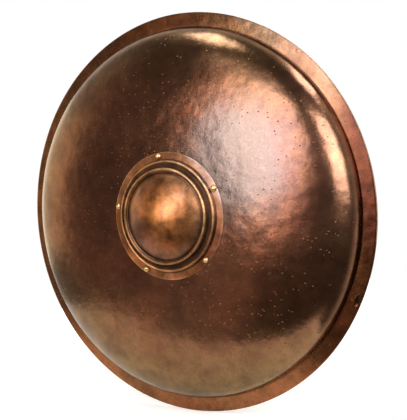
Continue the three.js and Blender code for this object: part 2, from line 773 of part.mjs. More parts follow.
gripRivetPlaces().forEach((place, i) => add(`grip_rivet_${i + 1}`, gripRivet(), brass, place));

const aspis = new THREE.Group();
aspis.add(shield);

export default aspis;
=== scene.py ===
# %% [markdown]
# # A hoplite's round shield, dressed
#
# The shield is a bowl about 0.9 m across: a wooden core glued up from planks, a thin bronze facing, a
# folded rim cover and a riveted boss. Behind it are a forearm band with a leather lining and, near the
# rim, a leather hand grip on two rings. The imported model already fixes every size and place. This file
# loads it, then models each piece again finely enough to look at, and gives it its own finish.

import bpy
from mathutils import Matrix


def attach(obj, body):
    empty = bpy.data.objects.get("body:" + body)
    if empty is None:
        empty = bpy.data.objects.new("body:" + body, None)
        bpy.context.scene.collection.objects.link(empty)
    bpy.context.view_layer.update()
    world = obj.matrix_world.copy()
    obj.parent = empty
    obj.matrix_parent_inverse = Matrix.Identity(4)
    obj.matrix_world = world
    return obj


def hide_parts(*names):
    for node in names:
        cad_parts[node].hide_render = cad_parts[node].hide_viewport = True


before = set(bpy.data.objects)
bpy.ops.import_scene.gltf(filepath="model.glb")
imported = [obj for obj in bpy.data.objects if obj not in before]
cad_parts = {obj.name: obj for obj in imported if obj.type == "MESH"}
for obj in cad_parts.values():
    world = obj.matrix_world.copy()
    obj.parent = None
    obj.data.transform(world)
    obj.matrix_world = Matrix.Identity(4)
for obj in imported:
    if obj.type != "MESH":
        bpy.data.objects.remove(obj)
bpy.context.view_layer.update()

# %% The tools this file uses
from math import asin, atan, atan2, cos, exp, hypot, pi, radians, sin, sqrt

import bmesh
import bpy
from mathutils import Matrix, Vector, noise

MM = 0.001
print("Blender", bpy.app.version_string)

# %% [markdown]
# ## The camera
#
# The photograph was taken a little from the shield's left and slightly from above, through a long lens.
# Its angle was worked out from the ellipses that the rim and the boss's circles make. A camera can be
# placed with two angles, but three unit vectors (right, up, and back towards the camera) also hold the
# slight roll, so they are used here.

# %% Place the camera
RIGHT = Vector((0.8525, 0.5228, 0.0))
UP = Vector((-0.0369, 0.0602, 0.9975))
TOWARDS = Vector((0.5215, -0.8504, 0.0706))
CAMERA_AT = Vector((1.3298, -2.0691, 0.1844))
SENSOR_WIDTH, FOCAL_LENGTH = 36.0, 95.13


def frame_of(x, y, z, at):
    """The matrix whose axes are the vectors x, y and z, and whose origin is at."""
    return Matrix([*zip(x, y, z, at), (0, 0, 0, 1)])


def place_camera():
    lens = bpy.data.cameras.new("camera")
    lens.sensor_width, lens.sensor_fit, lens.lens = SENSOR_WIDTH, "AUTO", FOCAL_LENGTH
    camera = bpy.data.objects.new("camera", lens)
    camera.matrix_world = frame_of(RIGHT, UP, TOWARDS, CAMERA_AT)
    bpy.context.collection.objects.link(camera)
    bpy.context.scene.camera = camera
    bpy.context.scene.view_settings.view_transform = "Standard"
    return camera


print("camera at", [round(x, 3) for x in place_camera().location])

# %% [markdown]
# ## Nodes in few words
#
# Every finish is a small web of nodes. To keep the webs short enough to read, an output of a node is
# wrapped as a wire: a plus or a times between wires adds a Math node, and each method of a wire adds the
# node that it stands for. All patterns read Object coordinates, so they stay on the piece from every side.

# %% Wires
def feed(node, values):
    """Link wires to a node's inputs, or set values. A colour is given by its three parts."""
    for key, value in values.items():
        socket = node.inputs[key]
        if isinstance(value, Wire):
            value.tree.links.new(value.socket, socket)
        else:
            socket.default_value = (*value, 1.0) if socket.type == "RGBA" else value


def add(tree, kind, values, out=0, **settings):
    """Add a node, set it up, and hand back one of its outputs as a wire."""
    node = tree.nodes.new("ShaderNode" + kind)
    for name, value in settings.items():
        setattr(node, name, value)
    feed(node, values)
    return Wire(tree, node.outputs[out])


def maths(operation):
    """A method that adds one Math node."""
    return lambda wire, other=0.0: wire.by(operation, other)


class Wire:
    __add__, __sub__, __mul__, __truediv__ = map(maths, ("ADD", "SUBTRACT", "MULTIPLY", "DIVIDE"))
    __abs__, least, most = map(maths, ("ABSOLUTE", "MINIMUM", "MAXIMUM"))

    def __init__(self, tree, socket):
        self.tree, self.socket = tree, socket

    def by(self, operation, other=0.0):
        return add(self.tree, "Math", {0: self, 1: other}, operation=operation)

    def __rsub__(self, other):
        return add(self.tree, "Math", {0: other, 1: self}, operation="SUBTRACT")

    def remap(self, low, high, to_low=0.0, to_high=1.0):
        """Slide softly from to_low to to_high while the value goes from low to high."""
        values = dict(enumerate((self, low, high, to_low, to_high)))
        return add(self.tree, "MapRange", values, interpolation_type="SMOOTHSTEP")

    def axis(self, name):
        return add(self.tree, "SeparateXYZ", {0: self}, name)

    def length(self):
        return add(self.tree, "VectorMath", {0: self}, "Value", operation="LENGTH")

    def along(self, angle):
        """How far out a point lies in one direction across the shield; 90 degrees is up."""
        way = (cos(radians(angle)), 0, sin(radians(angle)))
        return add(self.tree, "VectorMath", {0: self, 1: way}, "Value", operation="DOT_PRODUCT")

    def moved(self, scale=(1, 1, 1), turn=(0, 0, 0), shift=(0, 0, 0)):
        values = {"Scale": scale, "Rotation": turn, "Location": shift}
        return add(self.tree, "Mapping", {"Vector": self, **values})

    def noise(self, scale, detail=4.0, roughness=0.55, distortion=0.0):
        values = {"Scale": scale, "Detail": detail, "Roughness": roughness, "Distortion": distortion}
        return add(self.tree, "TexNoise", {"Vector": self, **values}, "Fac")

    def cells(self, scale, feature="F1"):
        return add(self.tree, "TexVoronoi", {"Vector": self, "Scale": scale}, "Distance", feature=feature)


print("wires ready")


# %% Helpers for finishes
def new_finish(name):
    material = bpy.data.materials.new(name)
    material.use_nodes = True
    tree = material.node_tree
    return material, tree.nodes["Principled BSDF"], add(tree, "TexCoord", {}, "Object")


def blend(share, a, b, how="MIX"):
    tree = next(v.tree for v in (share, a, b) if isinstance(v, Wire))
    return add(tree, "Mix", {0: share, 6: a, 7: b}, 2, data_type="RGBA", blend_type=how)


def relief(height, depth, under=None):
    """Let a height lift the surface, on top of the relief that lies under it."""
    values = {"Height": height, "Distance": depth}
    if under is not None:
        values["Normal"] = under
    return add(height.tree, "Bump", values)


def by_radius(radius, rings):
    """A colour that changes with the distance from the axis: each ring is a radius in mm and a colour."""
    first, last = rings[0][0], rings[-1][0]
    ramp = radius.tree.nodes.new("ShaderNodeValToRGB")
    feed(ramp, {"Fac": (radius - first * MM) / ((last - first) * MM)})
    stops = ramp.color_ramp.elements
    for at, colour in rings[1:-1]:
        stops.new((at - first) / (last - first)).color = (*colour, 1.0)
    for end in (0, -1):
        stops[end].color = (*rings[end][1], 1.0)
    return Wire(radius.tree, ramp.outputs["Color"])


def rays(tree, *kinds):
    """1 for rays of each kind, so that a thing can look one way to the camera and another in metal."""
    path = tree.nodes.new("ShaderNodeLightPath")
    return [Wire(tree, path.outputs[f"Is {kind} Ray"]) for kind in kinds]


print("helpers ready")

# %% [markdown]
# ## The light and the floor
#
# Polished metal shows what stands around it, so the lamps were found by asking, for each bright patch on
# the shield, which direction it mirrors. Six answer: a tall slanted one in front, one to the right, two
# small high ones, and two dim cards, left and high. One more lights the back, which the photo doesn't
# show. Each is given by azimuth (0 is straight in front, minus is left), elevation, distance, size and
# glow, which is the brightness that it would show in a mirror.

# %% Place the lamps
AIM = Vector((0.0, -0.03, 0.0))


def soft_box(
    name, azimuth, elevation, distance, width, height, glow, colour=(1, 1, 1), roll=0.0, shape="RECTANGLE"
):
    lamp = bpy.data.lights.new(name, "AREA")
    lamp.shape, lamp.size, lamp.size_y = shape, width, height
    lamp.energy = glow * pi * width * height * (pi / 4 if shape == "ELLIPSE" else 1)
    lamp.color = colour
    a, e = radians(azimuth), radians(elevation)
    direction = Vector((sin(a) * cos(e), -cos(a) * cos(e), sin(e)))
    level = direction.to_track_quat("Z", "Y").to_matrix()
    box = bpy.data.objects.new(name, lamp)
    box.location = AIM + direction * distance
    box.rotation_euler = (level @ Matrix.Rotation(radians(roll), 3, "Z")).to_euler()
    bpy.context.collection.objects.link(box)
    return box


COOL, WARM = (0.94, 1.0, 1.08), (1.12, 0.98, 0.64)
soft_box("key_box", -3.8, 18.8, 2.6, 1.46, 2.78, 5.6, COOL, roll=-43, shape="ELLIPSE")
soft_box("right_box", 64, 25, 2.6, 1.4, 1.5, 9.0, COOL)
soft_box("upper_right_box", 108, 60, 2.6, 1.1, 0.7, 8.5, COOL)
soft_box("top_box", -63, 73, 2.6, 1.06, 0.65, 8.0, COOL)
soft_box("left_card", -92, 3, 2.0, 2.3, 1.2, 0.65, WARM)
soft_box("high_card", -3, 43, 2.6, 1.5, 0.75, 1.2, COOL)
soft_box("back_box", 196, 34, 3.2, 2.2, 1.6, 3.0)

# %% [markdown]
# The world is what lies beyond the lamps. The camera sees it as plain white. Metal mirrors a bright room
# behind the shield and a dim one in front, where the photographer stood, lighter on the left and low
# down. For diffuse light it is a low even fill. A direction has three parts here, each from -1 to 1: x is
# to the right, y is away from the camera and z is up.

# %% Colour the world
FRONT_GLOW, BACK_GLOW, FILL_GLOW = 0.10, 0.9, 0.22
LEFT_GLOW, LOW_GLOW = 0.45, 0.42
SKY_WHITE, FILL_TINT = (1.0, 1.0, 1.0), (1.0, 0.93, 0.84)


def room(x, y, z):
    """How bright the room is in a direction."""
    corner = x.remap(-0.68, -0.82) * z.remap(-0.16, -0.28)
    behind = y.remap(-0.1, 0.35, FRONT_GLOW, BACK_GLOW) * (1.0 - corner * 0.5)
    left = x.remap(-0.60, -0.99, 0, LEFT_GLOW) * z.remap(-0.32, -0.14, 0.45, 1)
    far_left = (x + 0.62).least(0.0)
    low = (z - far_left * 0.8).remap(-0.02, -0.36, 0, LOW_GLOW) * x.remap(-0.22, -0.52, 0, 1)
    return behind.most(left.most(low) + FRONT_GLOW)


def light_world():
    world = bpy.data.worlds.new("studio")
    bpy.context.scene.world = world
    world.use_nodes = True
    tree = world.node_tree
    tree.nodes.clear()
    way = add(tree, "TexCoord", {}, "Generated")
    mirrored = room(way.axis("X"), way.axis("Y"), way.axis("Z"))
    camera, glossy, through = rays(tree, "Camera", "Glossy", "Transmission")
    strength = add(tree, "Mix", {0: glossy.most(through), 2: FILL_GLOW, 3: mirrored})
    colour = blend(camera, FILL_TINT, SKY_WHITE)
    glow = add(tree, "Background", {"Color": colour, "Strength": strength.most(camera)})
    feed(tree.nodes.new("ShaderNodeOutputWorld"), {"Surface": glow})


light_world()
print("world ready")

# %% [markdown]
# The shield stands on a white table. The table reaches far behind the shield and a little to its left,
# and ends soon in front and to its right, where the bowl mirrors the dark room. Its lit paint is just
# short of white, so a little glow, seen only by the camera and by metal, lifts it to white and still
# leaves the shadow.

# %% Lay the table
TABLE_TOP = -0.4502
TABLE_LEFT, TABLE_RIGHT, TABLE_FRONT, TABLE_BACK = -0.72, 0.56, -0.34, 2.4
TABLE_TURN = 17.0


def table_finish():
    material, shader, place = new_finish("white_table")
    camera, glossy = rays(place.tree, "Camera", "Glossy")
    far = place.length().remap(0.6, 1.6, 0.38, 1.0)
    feed(shader, {
        "Base Color": blend(place.noise(40, 3), (0.80, 0.755, 0.69), (0.84, 0.79, 0.72)),
        "Roughness": 0.9,
        "Specular IOR Level": 0.1,
        "Emission Strength": camera * far + glossy * 0.15,
        "Emission Color": (1, 1, 1),
    })
    return material


def object_from(bm, name, finish):
    mesh = bpy.data.meshes.new(name)
    bm.to_mesh(mesh)
    bm.free()
    mesh.materials.append(finish)
    thing = bpy.data.objects.new(name, mesh)
    bpy.context.collection.objects.link(thing)
    return thing


def lay_table():
    bm = bmesh.new()
    bmesh.ops.create_grid(bm, x_segments=8, y_segments=8, size=0.5)
    size = (TABLE_RIGHT - TABLE_LEFT, TABLE_BACK - TABLE_FRONT, 1)
    middle = ((TABLE_LEFT + TABLE_RIGHT) / 2, (TABLE_FRONT + TABLE_BACK) / 2, TABLE_TOP)
    turn = Matrix.Rotation(radians(TABLE_TURN), 3, "Z")
    bmesh.ops.scale(bm, verts=bm.verts, vec=size)
    bmesh.ops.translate(bm, verts=bm.verts, vec=middle)
    bmesh.ops.rotate(bm, verts=bm.verts, cent=(0, TABLE_FRONT, 0), matrix=turn)
    table = object_from(bm, "table", table_finish())
    return table


print("floor", lay_table().name)

# %% [markdown]
# ## From a drawing to a piece
#
# Most of the shield is turned, so most pieces start as a profile: a short list of radius and depth, in
# millimetres, that is spun about the shield's axis. Depth 0 is the plane of the rim's front, and smaller
# is further forward. One helper spins, and one turns millimetres to metres, moves the piece to the model's
# frame, gives it its finish, hangs it on its body and hides the model's nodes that it stands for. It also
# prints its faces.

# %% Helpers for pieces
RIM_PLANE = 0.0431
TO_FRAME = Matrix.Translation((0, RIM_PLANE, 0)) @ Matrix.Scale(MM, 4)
SIDES = {1: "upper", -1: "lower"}


def spun(profile, segments, closed=False):
    bm = bmesh.new()
    verts = [bm.verts.new((radius, y, 0)) for radius, y in profile]
    pairs = list(zip(verts, verts[1:])) + ([(verts[-1], verts[0])] if closed else [])
    edges = [bm.edges.new(pair) for pair in pairs]
    bmesh.ops.spin(bm, geom=verts + edges, axis=(0, 1, 0), angle=2 * pi, steps=segments, use_merge=True)
    bmesh.ops.remove_doubles(bm, verts=bm.verts, dist=0.001)
    bmesh.ops.recalc_face_normals(bm, faces=bm.faces)
    return bm


def edges_over(bm, angle):
    """The edges at which two faces meet more sharply than this many degrees."""
    return [e for e in bm.edges if len(e.link_faces) == 2 and e.calc_face_angle() > radians(angle)]


def soften(bm, width, segments=2, sharper_than=35):
    bmesh.ops.bevel(
        bm, geom=edges_over(bm, sharper_than), offset=width, offset_type="OFFSET", affect="EDGES",
        segments=segments, profile=0.5, material=-1, clamp_overlap=True,
    )


def uneven(bm, amount, size):
    """Move the skin in and out by noise, because nothing made by hand is perfectly smooth."""
    for vert in bm.verts:
        vert.co += vert.normal * amount * noise.noise(vert.co / size)
    return bm


def settle(bm, name, finish, stands_for, body="shield", place=None, crease=40):
    bm.transform(TO_FRAME if place is None else place)
    for face in bm.faces:
        face.smooth = True
    for edge in edges_over(bm, crease):
        edge.smooth = False
    print(name, len(bm.faces), "faces")
    piece = object_from(bm, name, finish)
    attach(piece, body)
    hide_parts(*stands_for)


print("piece helpers ready")

# %% [markdown]
# ## The bowl's meridian
#
# The bowl is nearly flat in the middle and turns round the shoulder to a wall that stands upright on the
# rim. One formula draws that meridian for the facing and for the wood: the radius is the root of a sine
# and the depth a cosine, and the points crowd towards the middle.

# %% Draw the meridian
SHIELD_RADIUS, WALL_RADIUS, BOWL_DEPTH = 450.0, 417.6, 91.0
RIM_DROP = 2.4


def meridian(radius, depth, steps):
    turns = [pi / 2 * (i / steps) ** 1.5 for i in range(steps + 1)]
    return [(radius * sqrt(sin(t)), -depth * cos(t)) for t in turns]


def rim_fall(radius):
    return RIM_DROP * (radius - WALL_RADIUS) / (SHIELD_RADIUS - WALL_RADIUS)


print("shoulder at", [tuple(round(x, 1) for x in p) for p in meridian(WALL_RADIUS, BOWL_DEPTH, 8)[4:7]])

# %% [markdown]
# ## Bronze that has aged
#
# Old bronze is not one colour. Chocolate brown lies over most of the bowl, redder clouds show where it
# was handled, and towards the shoulder it turns a golden olive. Small hammer pits sit in it, painted dark
# at the bottom as painted shade. Some of the colour is painted light: a paler rubbed patch where the key
# lamp's highlight falls, tints by direction that paint highlights and shade, and painted shade in a nick
# and round rivet heads. The shader is all metal: its colour is what it mirrors, and a thin clear coat of
# wax gives the whiter gleam over the brown.

# %% Finish of the facing
RIVET_CIRCLE = 132.6
RIVET_ANGLES = [100.8 - 72 * i for i in range(5)]
# Middle of the paler rubbed patch, set where the key lamp's highlight falls on the bowl.
RUBBED_HIGHLIGHT_X, RUBBED_HIGHLIGHT_Z = 0.165, 0.125


def off_line(place, x=0.0, z=0.0):
    """Distance from the line through x and z that runs from front to back."""
    return place.moved(scale=(1, 0, 1), shift=(-x, 0, -z)).length()


def rubbed_highlight_patch(place, clouds):
    """A soft-edged paler patch high on the elbow side: rubbed metal, set where the key lamp's highlight
    falls, so it is also a painted highlight.
    """
    reach = off_line(place, RUBBED_HIGHLIGHT_X, RUBBED_HIGHLIGHT_Z) + clouds * 0.10
    return reach.remap(0.12, 0.23, 1, 0)


def rivet_foot_shade(place):
    """1 close to a boss rivet, where the colour is darkened round the head's foot as painted shade."""
    near = 1.0
    for turn in map(radians, RIVET_ANGLES):
        near = off_line(place, RIVET_CIRCLE * MM * cos(turn), RIVET_CIRCLE * MM * sin(turn)).least(near)
    return near.remap(0.0064, 0.0092, 1, 0)


def aged_bronze(
    name, brown=None, red=None, gold=None, gold_from=0.3, gold_to=0.5, rings=None, rough=0.2, wax=0.25,
    clouding=0.14, cloud_scale=15.0, mottling=0.16, pit_share=1.0, seed=0.0,
    rubbed_highlight_colour=None, wear_and_painted_light=(), painted_nick_shade=None, shade_round_rivets=False,
):
    material, shader, piece_place = new_finish(name)
    place = piece_place.moved(shift=(seed, seed * 0.7, -seed))
    radius = off_line(piece_place)
    clouds = place.noise(4.5, 3, 0.55, 0.3)
    patches = place.noise(cloud_scale, 5, 0.6, 0.5)
    mottle = place.noise(48, 4, 0.6)
    grit = place.noise(230, 4, 0.6)
    if rings:
        colour = by_radius(radius, rings)
    else:
        outward = radius + (clouds + patches) * 0.10
        colour = blend(clouds.remap(0.36, 0.66), brown, red)
        colour = blend(outward.remap(gold_from + 0.10, gold_to + 0.10), colour, gold)
    shade = patches.remap(0.30, 0.64, 1.0 - clouding, 1.06) * mottle.remap(0.28, 0.66, 1.0 - mottling, 1.08)
    # The paler patch whitens the key lamp's highlight, and inside it the darker clouds are lifted so the
    # highlight stays bright: rubbed metal and painted highlight.
    if rubbed_highlight_colour:
        bare_highlight = rubbed_highlight_patch(place, patches)
        colour = blend(bare_highlight, colour, rubbed_highlight_colour)
        shade = shade.most((bare_highlight * 1.4).least(0.95))
    colour = blend(1.0, colour, shade * grit.remap(0.3, 0.7, 0.88, 1.08), "MULTIPLY")
    # Each tint by direction multiplies the colour on one side of the piece: painted highlight where it is
    # paler, painted shade where it is darker.
    for angle, start, end, change in wear_and_painted_light:
        painted_light_tint = blend(piece_place.along(angle).remap(start, end), (1, 1, 1), change)
        colour = blend(1.0, colour, painted_light_tint, "MULTIPLY")
    # The nick is painted near-black: painted shade in the dent.
    if painted_nick_shade:
        off = piece_place.moved(scale=(1, 0, 0.6), shift=(-painted_nick_shade[0], 0, -0.6 * painted_nick_shade[1])).length()
        colour = blend(off.remap(0.0022, 0.0062, 0.85, 0), colour, (0.02, 0.008, 0.004))
    # A darker ring round the foot of each boss rivet's head: painted shade.
    if shade_round_rivets:
        colour = blend(rivet_foot_shade(piece_place) * 0.75, colour, (0.05, 0.02, 0.01))
    pits = place.moved(scale=(1, 1, 1.7), turn=(0, 0.25, 0)).cells(68)
    scattered = place.noise(13, 3).remap(0.40, 0.56)
    pitted = pits.remap(0.03, 0.16, 1, 0) * (scattered * pit_share)
    sheen = clouds.remap(0.3, 0.7, rough - 0.02, rough + 0.03) + grit * 0.05
    hammered = relief(place.noise(24, 2, 0.5), 0.0005)
    grained = relief(mottle, 0.00034, hammered)
    dented = relief(pitted, -0.0006, grained)
    feed(shader, {
        # The pits are painted near-black: painted shade in the dents.
        "Base Color": blend(pitted * 0.8, colour, (0.03, 0.012, 0.006)),
        "Metallic": 1.0,
        "Roughness": sheen + pitted * 0.2,
        "Coat Weight": wax,
        "Coat Roughness": 0.2,
        "Normal": relief(grit, 0.00008, dented),
    })
    return material


facing_finish = aged_bronze(
    "facing_bronze", (0.215, 0.080, 0.038), (0.25, 0.082, 0.038), (0.235, 0.128, 0.055), 0.25, 0.46,
    # The rubbed colour is paler metal that also paints the key lamp's highlight whiter. The tints by
    # direction are painted reflection: pinker where the right lamp glares on the shoulder, greener low down.
    clouding=0.26, rubbed_highlight_colour=(0.205, 0.130, 0.100),
    wear_and_painted_light=((10, 0.22, 0.36, (1.02, 0.88, 1.05)), (252, 0.15, 0.29, (0.96, 1.14, 1.04))),
)
print("finish", facing_finish.name)

# %% [markdown]
# ## The facing
#
# The facing is a thin sheet beaten over the bowl. A spin makes it perfectly smooth, and no beaten sheet
# is, so its front is then moved in and out by fractions of a millimetre: broad swells from the wood and
# the stretching, and shallow hollows where single blows fell. Real relief like this bends the highlights,
# which a painted pattern can't do.

# %% Make the facing
SHEET = 0.6
FACING_EDGE = WALL_RADIUS + 10.4
UNDER_RIM = 1.1
BEATEN_IN, BEATEN_OUT = -0.42, 0.5


def beaten(x, z):
    """How far the sheet is beaten out at a point, in mm."""
    swell = noise.noise(Vector((x, z, 0)) / 95) * 0.5
    wave = noise.noise(Vector((x, z, 40)) / 38) * 0.2
    near, _ = noise.voronoi(Vector((x, z, 0)) / 21)
    blow = min(near[0] * near[0] * 1.4, 0.6) * 0.26
    return swell + wave + blow - 0.07


def make_facing():
    front = meridian(WALL_RADIUS, BOWL_DEPTH, 150)
    back = meridian(WALL_RADIUS - SHEET, BOWL_DEPTH - SHEET, 24)
    fall = rim_fall(FACING_EDGE)
    turned_out = [
        (WALL_RADIUS, UNDER_RIM), (FACING_EDGE, UNDER_RIM + fall),
        (FACING_EDGE, UNDER_RIM + SHEET + fall), (WALL_RADIUS - SHEET, UNDER_RIM + SHEET),
    ]
    bm = spun(front + turned_out + back[::-1], 400)
    for vert in bm.verts:
        x, y, z = vert.co
        if vert.normal.y < -0.02 and hypot(x, z) < WALL_RADIUS + 0.01 and y < -0.5:
            fade = min(1.0, -y / 12)
            vert.co += vert.normal * max(BEATEN_IN, min(BEATEN_OUT, beaten(x, z) * fade))
    bm.normal_update()
    settle(bm, "bowl_facing", facing_finish, ["facing"])


make_facing()

# %% [markdown]
# ## The rim cover
#
# A band of thinner, redder bronze is folded over the flat rim. It is turned in one profile: the front
# band, the edge, and a lip on the back. Its corners are beveled, because a folded sheet has round
# corners, and its outer edge is not quite a circle. A small nick was knocked into it low on one side.

# %% Finish and shape of the rim cover
NICK_ANGLE, NICK_RADIUS = radians(-22.3), 441.5
NICK_HALF_WIDTH, NICK_HALF_LENGTH, NICK_DEPTH, BURR = 4.6, 9.5, 0.72, 0.25
NICK = (NICK_RADIUS * MM * cos(NICK_ANGLE), NICK_RADIUS * MM * sin(NICK_ANGLE))
RIM_INNER = WALL_RADIUS + 0.5
RIM_BACK = RIM_DROP + 4.4 + 2 * UNDER_RIM
RIM_SHEET, LIP_WIDTH = 0.8, 24
rim_finish = aged_bronze(
    "rim_bronze", (0.27, 0.110, 0.042), (0.34, 0.116, 0.044), (0.30, 0.13, 0.06), 0.60, 0.70,
    rough=0.25, wax=0.15, clouding=0.35, mottling=0.24, pit_share=0.5, seed=3.1, painted_nick_shade=NICK,
    # The tints by direction are painted light: painted shade on the right and at the top, and a paler, bluer
    # painted highlight at the upper right. The nick is painted near-black as painted shade.
    wear_and_painted_light=(
        (-6, 0.28, 0.40, (0.58, 0.45, 0.38)), (106, 0.36, 0.43, (0.72, 0.66, 0.64)),
        (48, 0.36, 0.43, (0.97, 1.27, 1.8)), (11, 0.385, 0.425, (0.62, 0.47, 0.50)),
    ),
)


def nicked(radius, turn):
    """The nick's depth at a point, less the low burr that the blow pushed up round it."""
    along = (turn - NICK_ANGLE) * NICK_RADIUS / NICK_HALF_LENGTH
    off = hypot((radius - NICK_RADIUS) / NICK_HALF_WIDTH, along)
    return NICK_DEPTH * exp(-off ** 4) - BURR * exp(-((off - 1.45) / 0.3) ** 2)


def rim_profile():
    band = [RIM_INNER + (SHIELD_RADIUS - 0.6 - RIM_INNER) * i / 10 for i in range(11)]
    front = [(r, rim_fall(r)) for r in band]
    lip, inner = SHIELD_RADIUS - LIP_WIDTH, SHIELD_RADIUS - RIM_SHEET
    edge = [
        (SHIELD_RADIUS, RIM_DROP + 0.9), (SHIELD_RADIUS, RIM_BACK - 0.9),
        (SHIELD_RADIUS - 0.9, RIM_BACK), (lip, RIM_BACK),
    ]
    inside = [
        (lip, RIM_BACK - RIM_SHEET), (inner, RIM_BACK - RIM_SHEET),
        (inner, RIM_DROP + RIM_SHEET), (RIM_INNER, RIM_SHEET + 0.04),
    ]
    return front + edge + inside


def make_rim():
    bm = spun(rim_profile(), 400, closed=True)
    soften(bm, 0.25, 2, 50)
    spot = Vector((NICK[0], 0, NICK[1])) / MM
    close = [f for f in bm.faces if f.normal.y < -0.9 and (f.calc_center_median() - spot).length < 24]
    edges = list({e for f in close for e in f.edges})
    bmesh.ops.subdivide_edges(bm, edges=edges, cuts=3, use_grid_fill=True)
    bm.normal_update()
    for vert in bm.verts:
        x, _, z = vert.co
        radius, turn = hypot(x, z), atan2(z, x)
        share = (radius - RIM_INNER) / (SHIELD_RADIUS - RIM_INNER)
        wobble = noise.noise(Vector((cos(turn), sin(turn), 3)) * 4)
        pull = (0.9 + 0.9 * sin(2 * turn + 0.6) + 0.5 * wobble) * max(0, share)
        vert.co -= Vector((x, 0, z)) / radius * max(0.0, pull)
        if vert.normal.y < -0.5 and 0.05 < share < 0.97:
            vert.co.y += 0.28 * noise.noise(Vector((vert.co.x, vert.co.z, 9)) / 14) + nicked(radius, turn)
    bm.normal_update()
    settle(bm, "rim_band", rim_finish, ["rim_cover"])


make_rim()

# %% [markdown]
# ## The boss
#
# The boss is one disc of bronze spun on a lathe over a former: a narrow flange, a round bead, a step, a
# second bead, a groove and a dome. The profile is drawn from the edge to the middle, spun, and given its
# sheet thickness by Solidify. Polishing has brought out the gold on what stands up and left brown patina
# in the hollows; the groove, the step and the cove are painted near-black on top of it, as painted shade.

# %% Profile of the boss
BOSS_RADIUS, BOSS_SEAT = 140.2, -90.46
DOME_RADIUS, DOME_RISE, DOME_FOOT = 94.5, 35.0, 16.4


def bead(radius, height, half, steps=12):
    turns = [pi * i / steps for i in range(steps + 1)]
    return [(radius + half * cos(t), height - half + half * sin(t)) for t in turns]


def boss_profile():
    ball = (DOME_RADIUS ** 2 / DOME_RISE + DOME_RISE) / 2
    foot = asin(DOME_RADIUS / ball)
    turns = [foot * (1 - i / 44) for i in range(45)]
    dome = [(ball * sin(t), DOME_FOOT + DOME_RISE - ball * (1 - cos(t))) for t in turns]
    flange = [(BOSS_RADIUS, 1.0), (BOSS_RADIUS - 5, 1.32), (BOSS_RADIUS - 11, 1.7), (124.0, 2.0)]
    cove = [(123.6, 2.6), (123.0, 4.4), (122.5, 6.2)]
    step = [(115.2, 8.3), (113.0, 8.2), (109.5, 8.3), (107.7, 8.4)]
    wall = [(107.2, 9.4), (106.6, 12.2), (106.2, 15.2)]
    groove = [(98.2, 15.9), (97.0, 15.6), (95.7, 15.8)]
    return flange + cove + bead(119, 11, 3.3) + step + wall + bead(102.8, 20.1, 3.2) + groove + dome


print("boss profile points", len(boss_profile()))

# %% Finish and shape of the boss
# Radius in mm and colour. The near-black rings from 94.5 to 97.5 mm, from 107.5 to 114.6 mm and at 123.6 mm
# are patina with painted shade in the groove, the step and the cove.
BOSS_RINGS = [
    (0, (0.66, 0.235, 0.068)), (40, (0.60, 0.200, 0.054)), (70, (0.46, 0.155, 0.046)),
    (91, (0.42, 0.175, 0.066)), (94.5, (0.18, 0.06, 0.022)), (97.5, (0.06, 0.022, 0.009)),
    (99.8, (0.66, 0.315, 0.12)), (105.4, (0.70, 0.34, 0.135)), (107.5, (0.07, 0.026, 0.010)),
    (114.6, (0.10, 0.036, 0.014)), (116.2, (0.66, 0.315, 0.12)), (121.6, (0.68, 0.33, 0.13)),
    (123.6, (0.12, 0.042, 0.018)), (126.5, (0.48, 0.175, 0.064)), (137, (0.58, 0.215, 0.080)),
    (139.4, (0.74, 0.38, 0.18)), (142, (0.26, 0.09, 0.036)),
]
boss_finish = aged_bronze(
    "boss_bronze", rings=BOSS_RINGS, rough=0.40, wax=0.38, clouding=0.52, cloud_scale=27, mottling=0.36,
    # The rivets get painted shade round their feet. The tints by direction are painted light: painted shade
    # on the flange low on the right and at the top and on the dome's left and lower left, painted highlight
    # where the flange and beads mirror lamps on the left, lower left and upper right, and on the dome's
    # right, which moves its highlight there.
    pit_share=0.3, seed=7.7, shade_round_rivets=True,
    wear_and_painted_light=(
        (-30, 0.095, 0.130, (0.62, 0.48, 0.42)), (205, 0.095, 0.128, (1.35, 1.32, 1.25)),
        (98, 0.118, 0.132, (0.58, 0.54, 0.52)), (42, 0.112, 0.128, (0.97, 1.24, 1.8)),
        (250, 0.0, 0.05, (0.60, 0.54, 0.48)), (250, 0.100, 0.122, (1.8, 1.9, 2.0)),
        (28, 0.0, 0.035, (0.97, 1.02, 1.14)), (165, -0.015, 0.03, (0.84, 0.80, 0.74)),
    ),
)


def make_boss():
    bm = spun([(r, BOSS_SEAT - h) for r, h in boss_profile()], 240)
    for vert in bm.verts:
        if hypot(vert.co.x, vert.co.z) < DOME_RADIUS - 2.5:
            vert.co.y += max(0.0, 0.4 + 0.5 * noise.noise(vert.co / 40) + 0.16 * noise.noise(vert.co / 13))
    outer = list(bm.faces)
    if sum(f.normal.y * f.calc_area() for f in outer) > 0:
        bmesh.ops.reverse_faces(bm, faces=outer)
    bmesh.ops.solidify(bm, geom=outer, thickness=1.0)
    settle(bm, "boss_spun", boss_finish, ["boss"])


make_boss()

# %% [markdown]
# ## Five rivets through the front
#
# The boss is held by five round-headed rivets. Each goes through sheet and wood and is hammered over a
# washer, called a rove, inside. One profile from the top of the head to the closed tail is spun once for
# each rivet. A hammered head is never a perfect ball, so noise moves its skin by a few hundredths.

# %% Finish and shape of the boss rivets
brass_finish = aged_bronze(
    "rivet_brass", (0.86, 0.56, 0.25), (0.80, 0.47, 0.19), (0.80, 0.50, 0.17), 0.60, 0.70,
    rough=0.36, pit_share=0.2, seed=1.3,
)
RIVET_SEAT, RIVET_LEAN = -92.23, atan(1 / 16.2)
ROVE_SEAT, TAIL_SEAT = 10.45, 12.35
HAMMER_MARK = 1.7


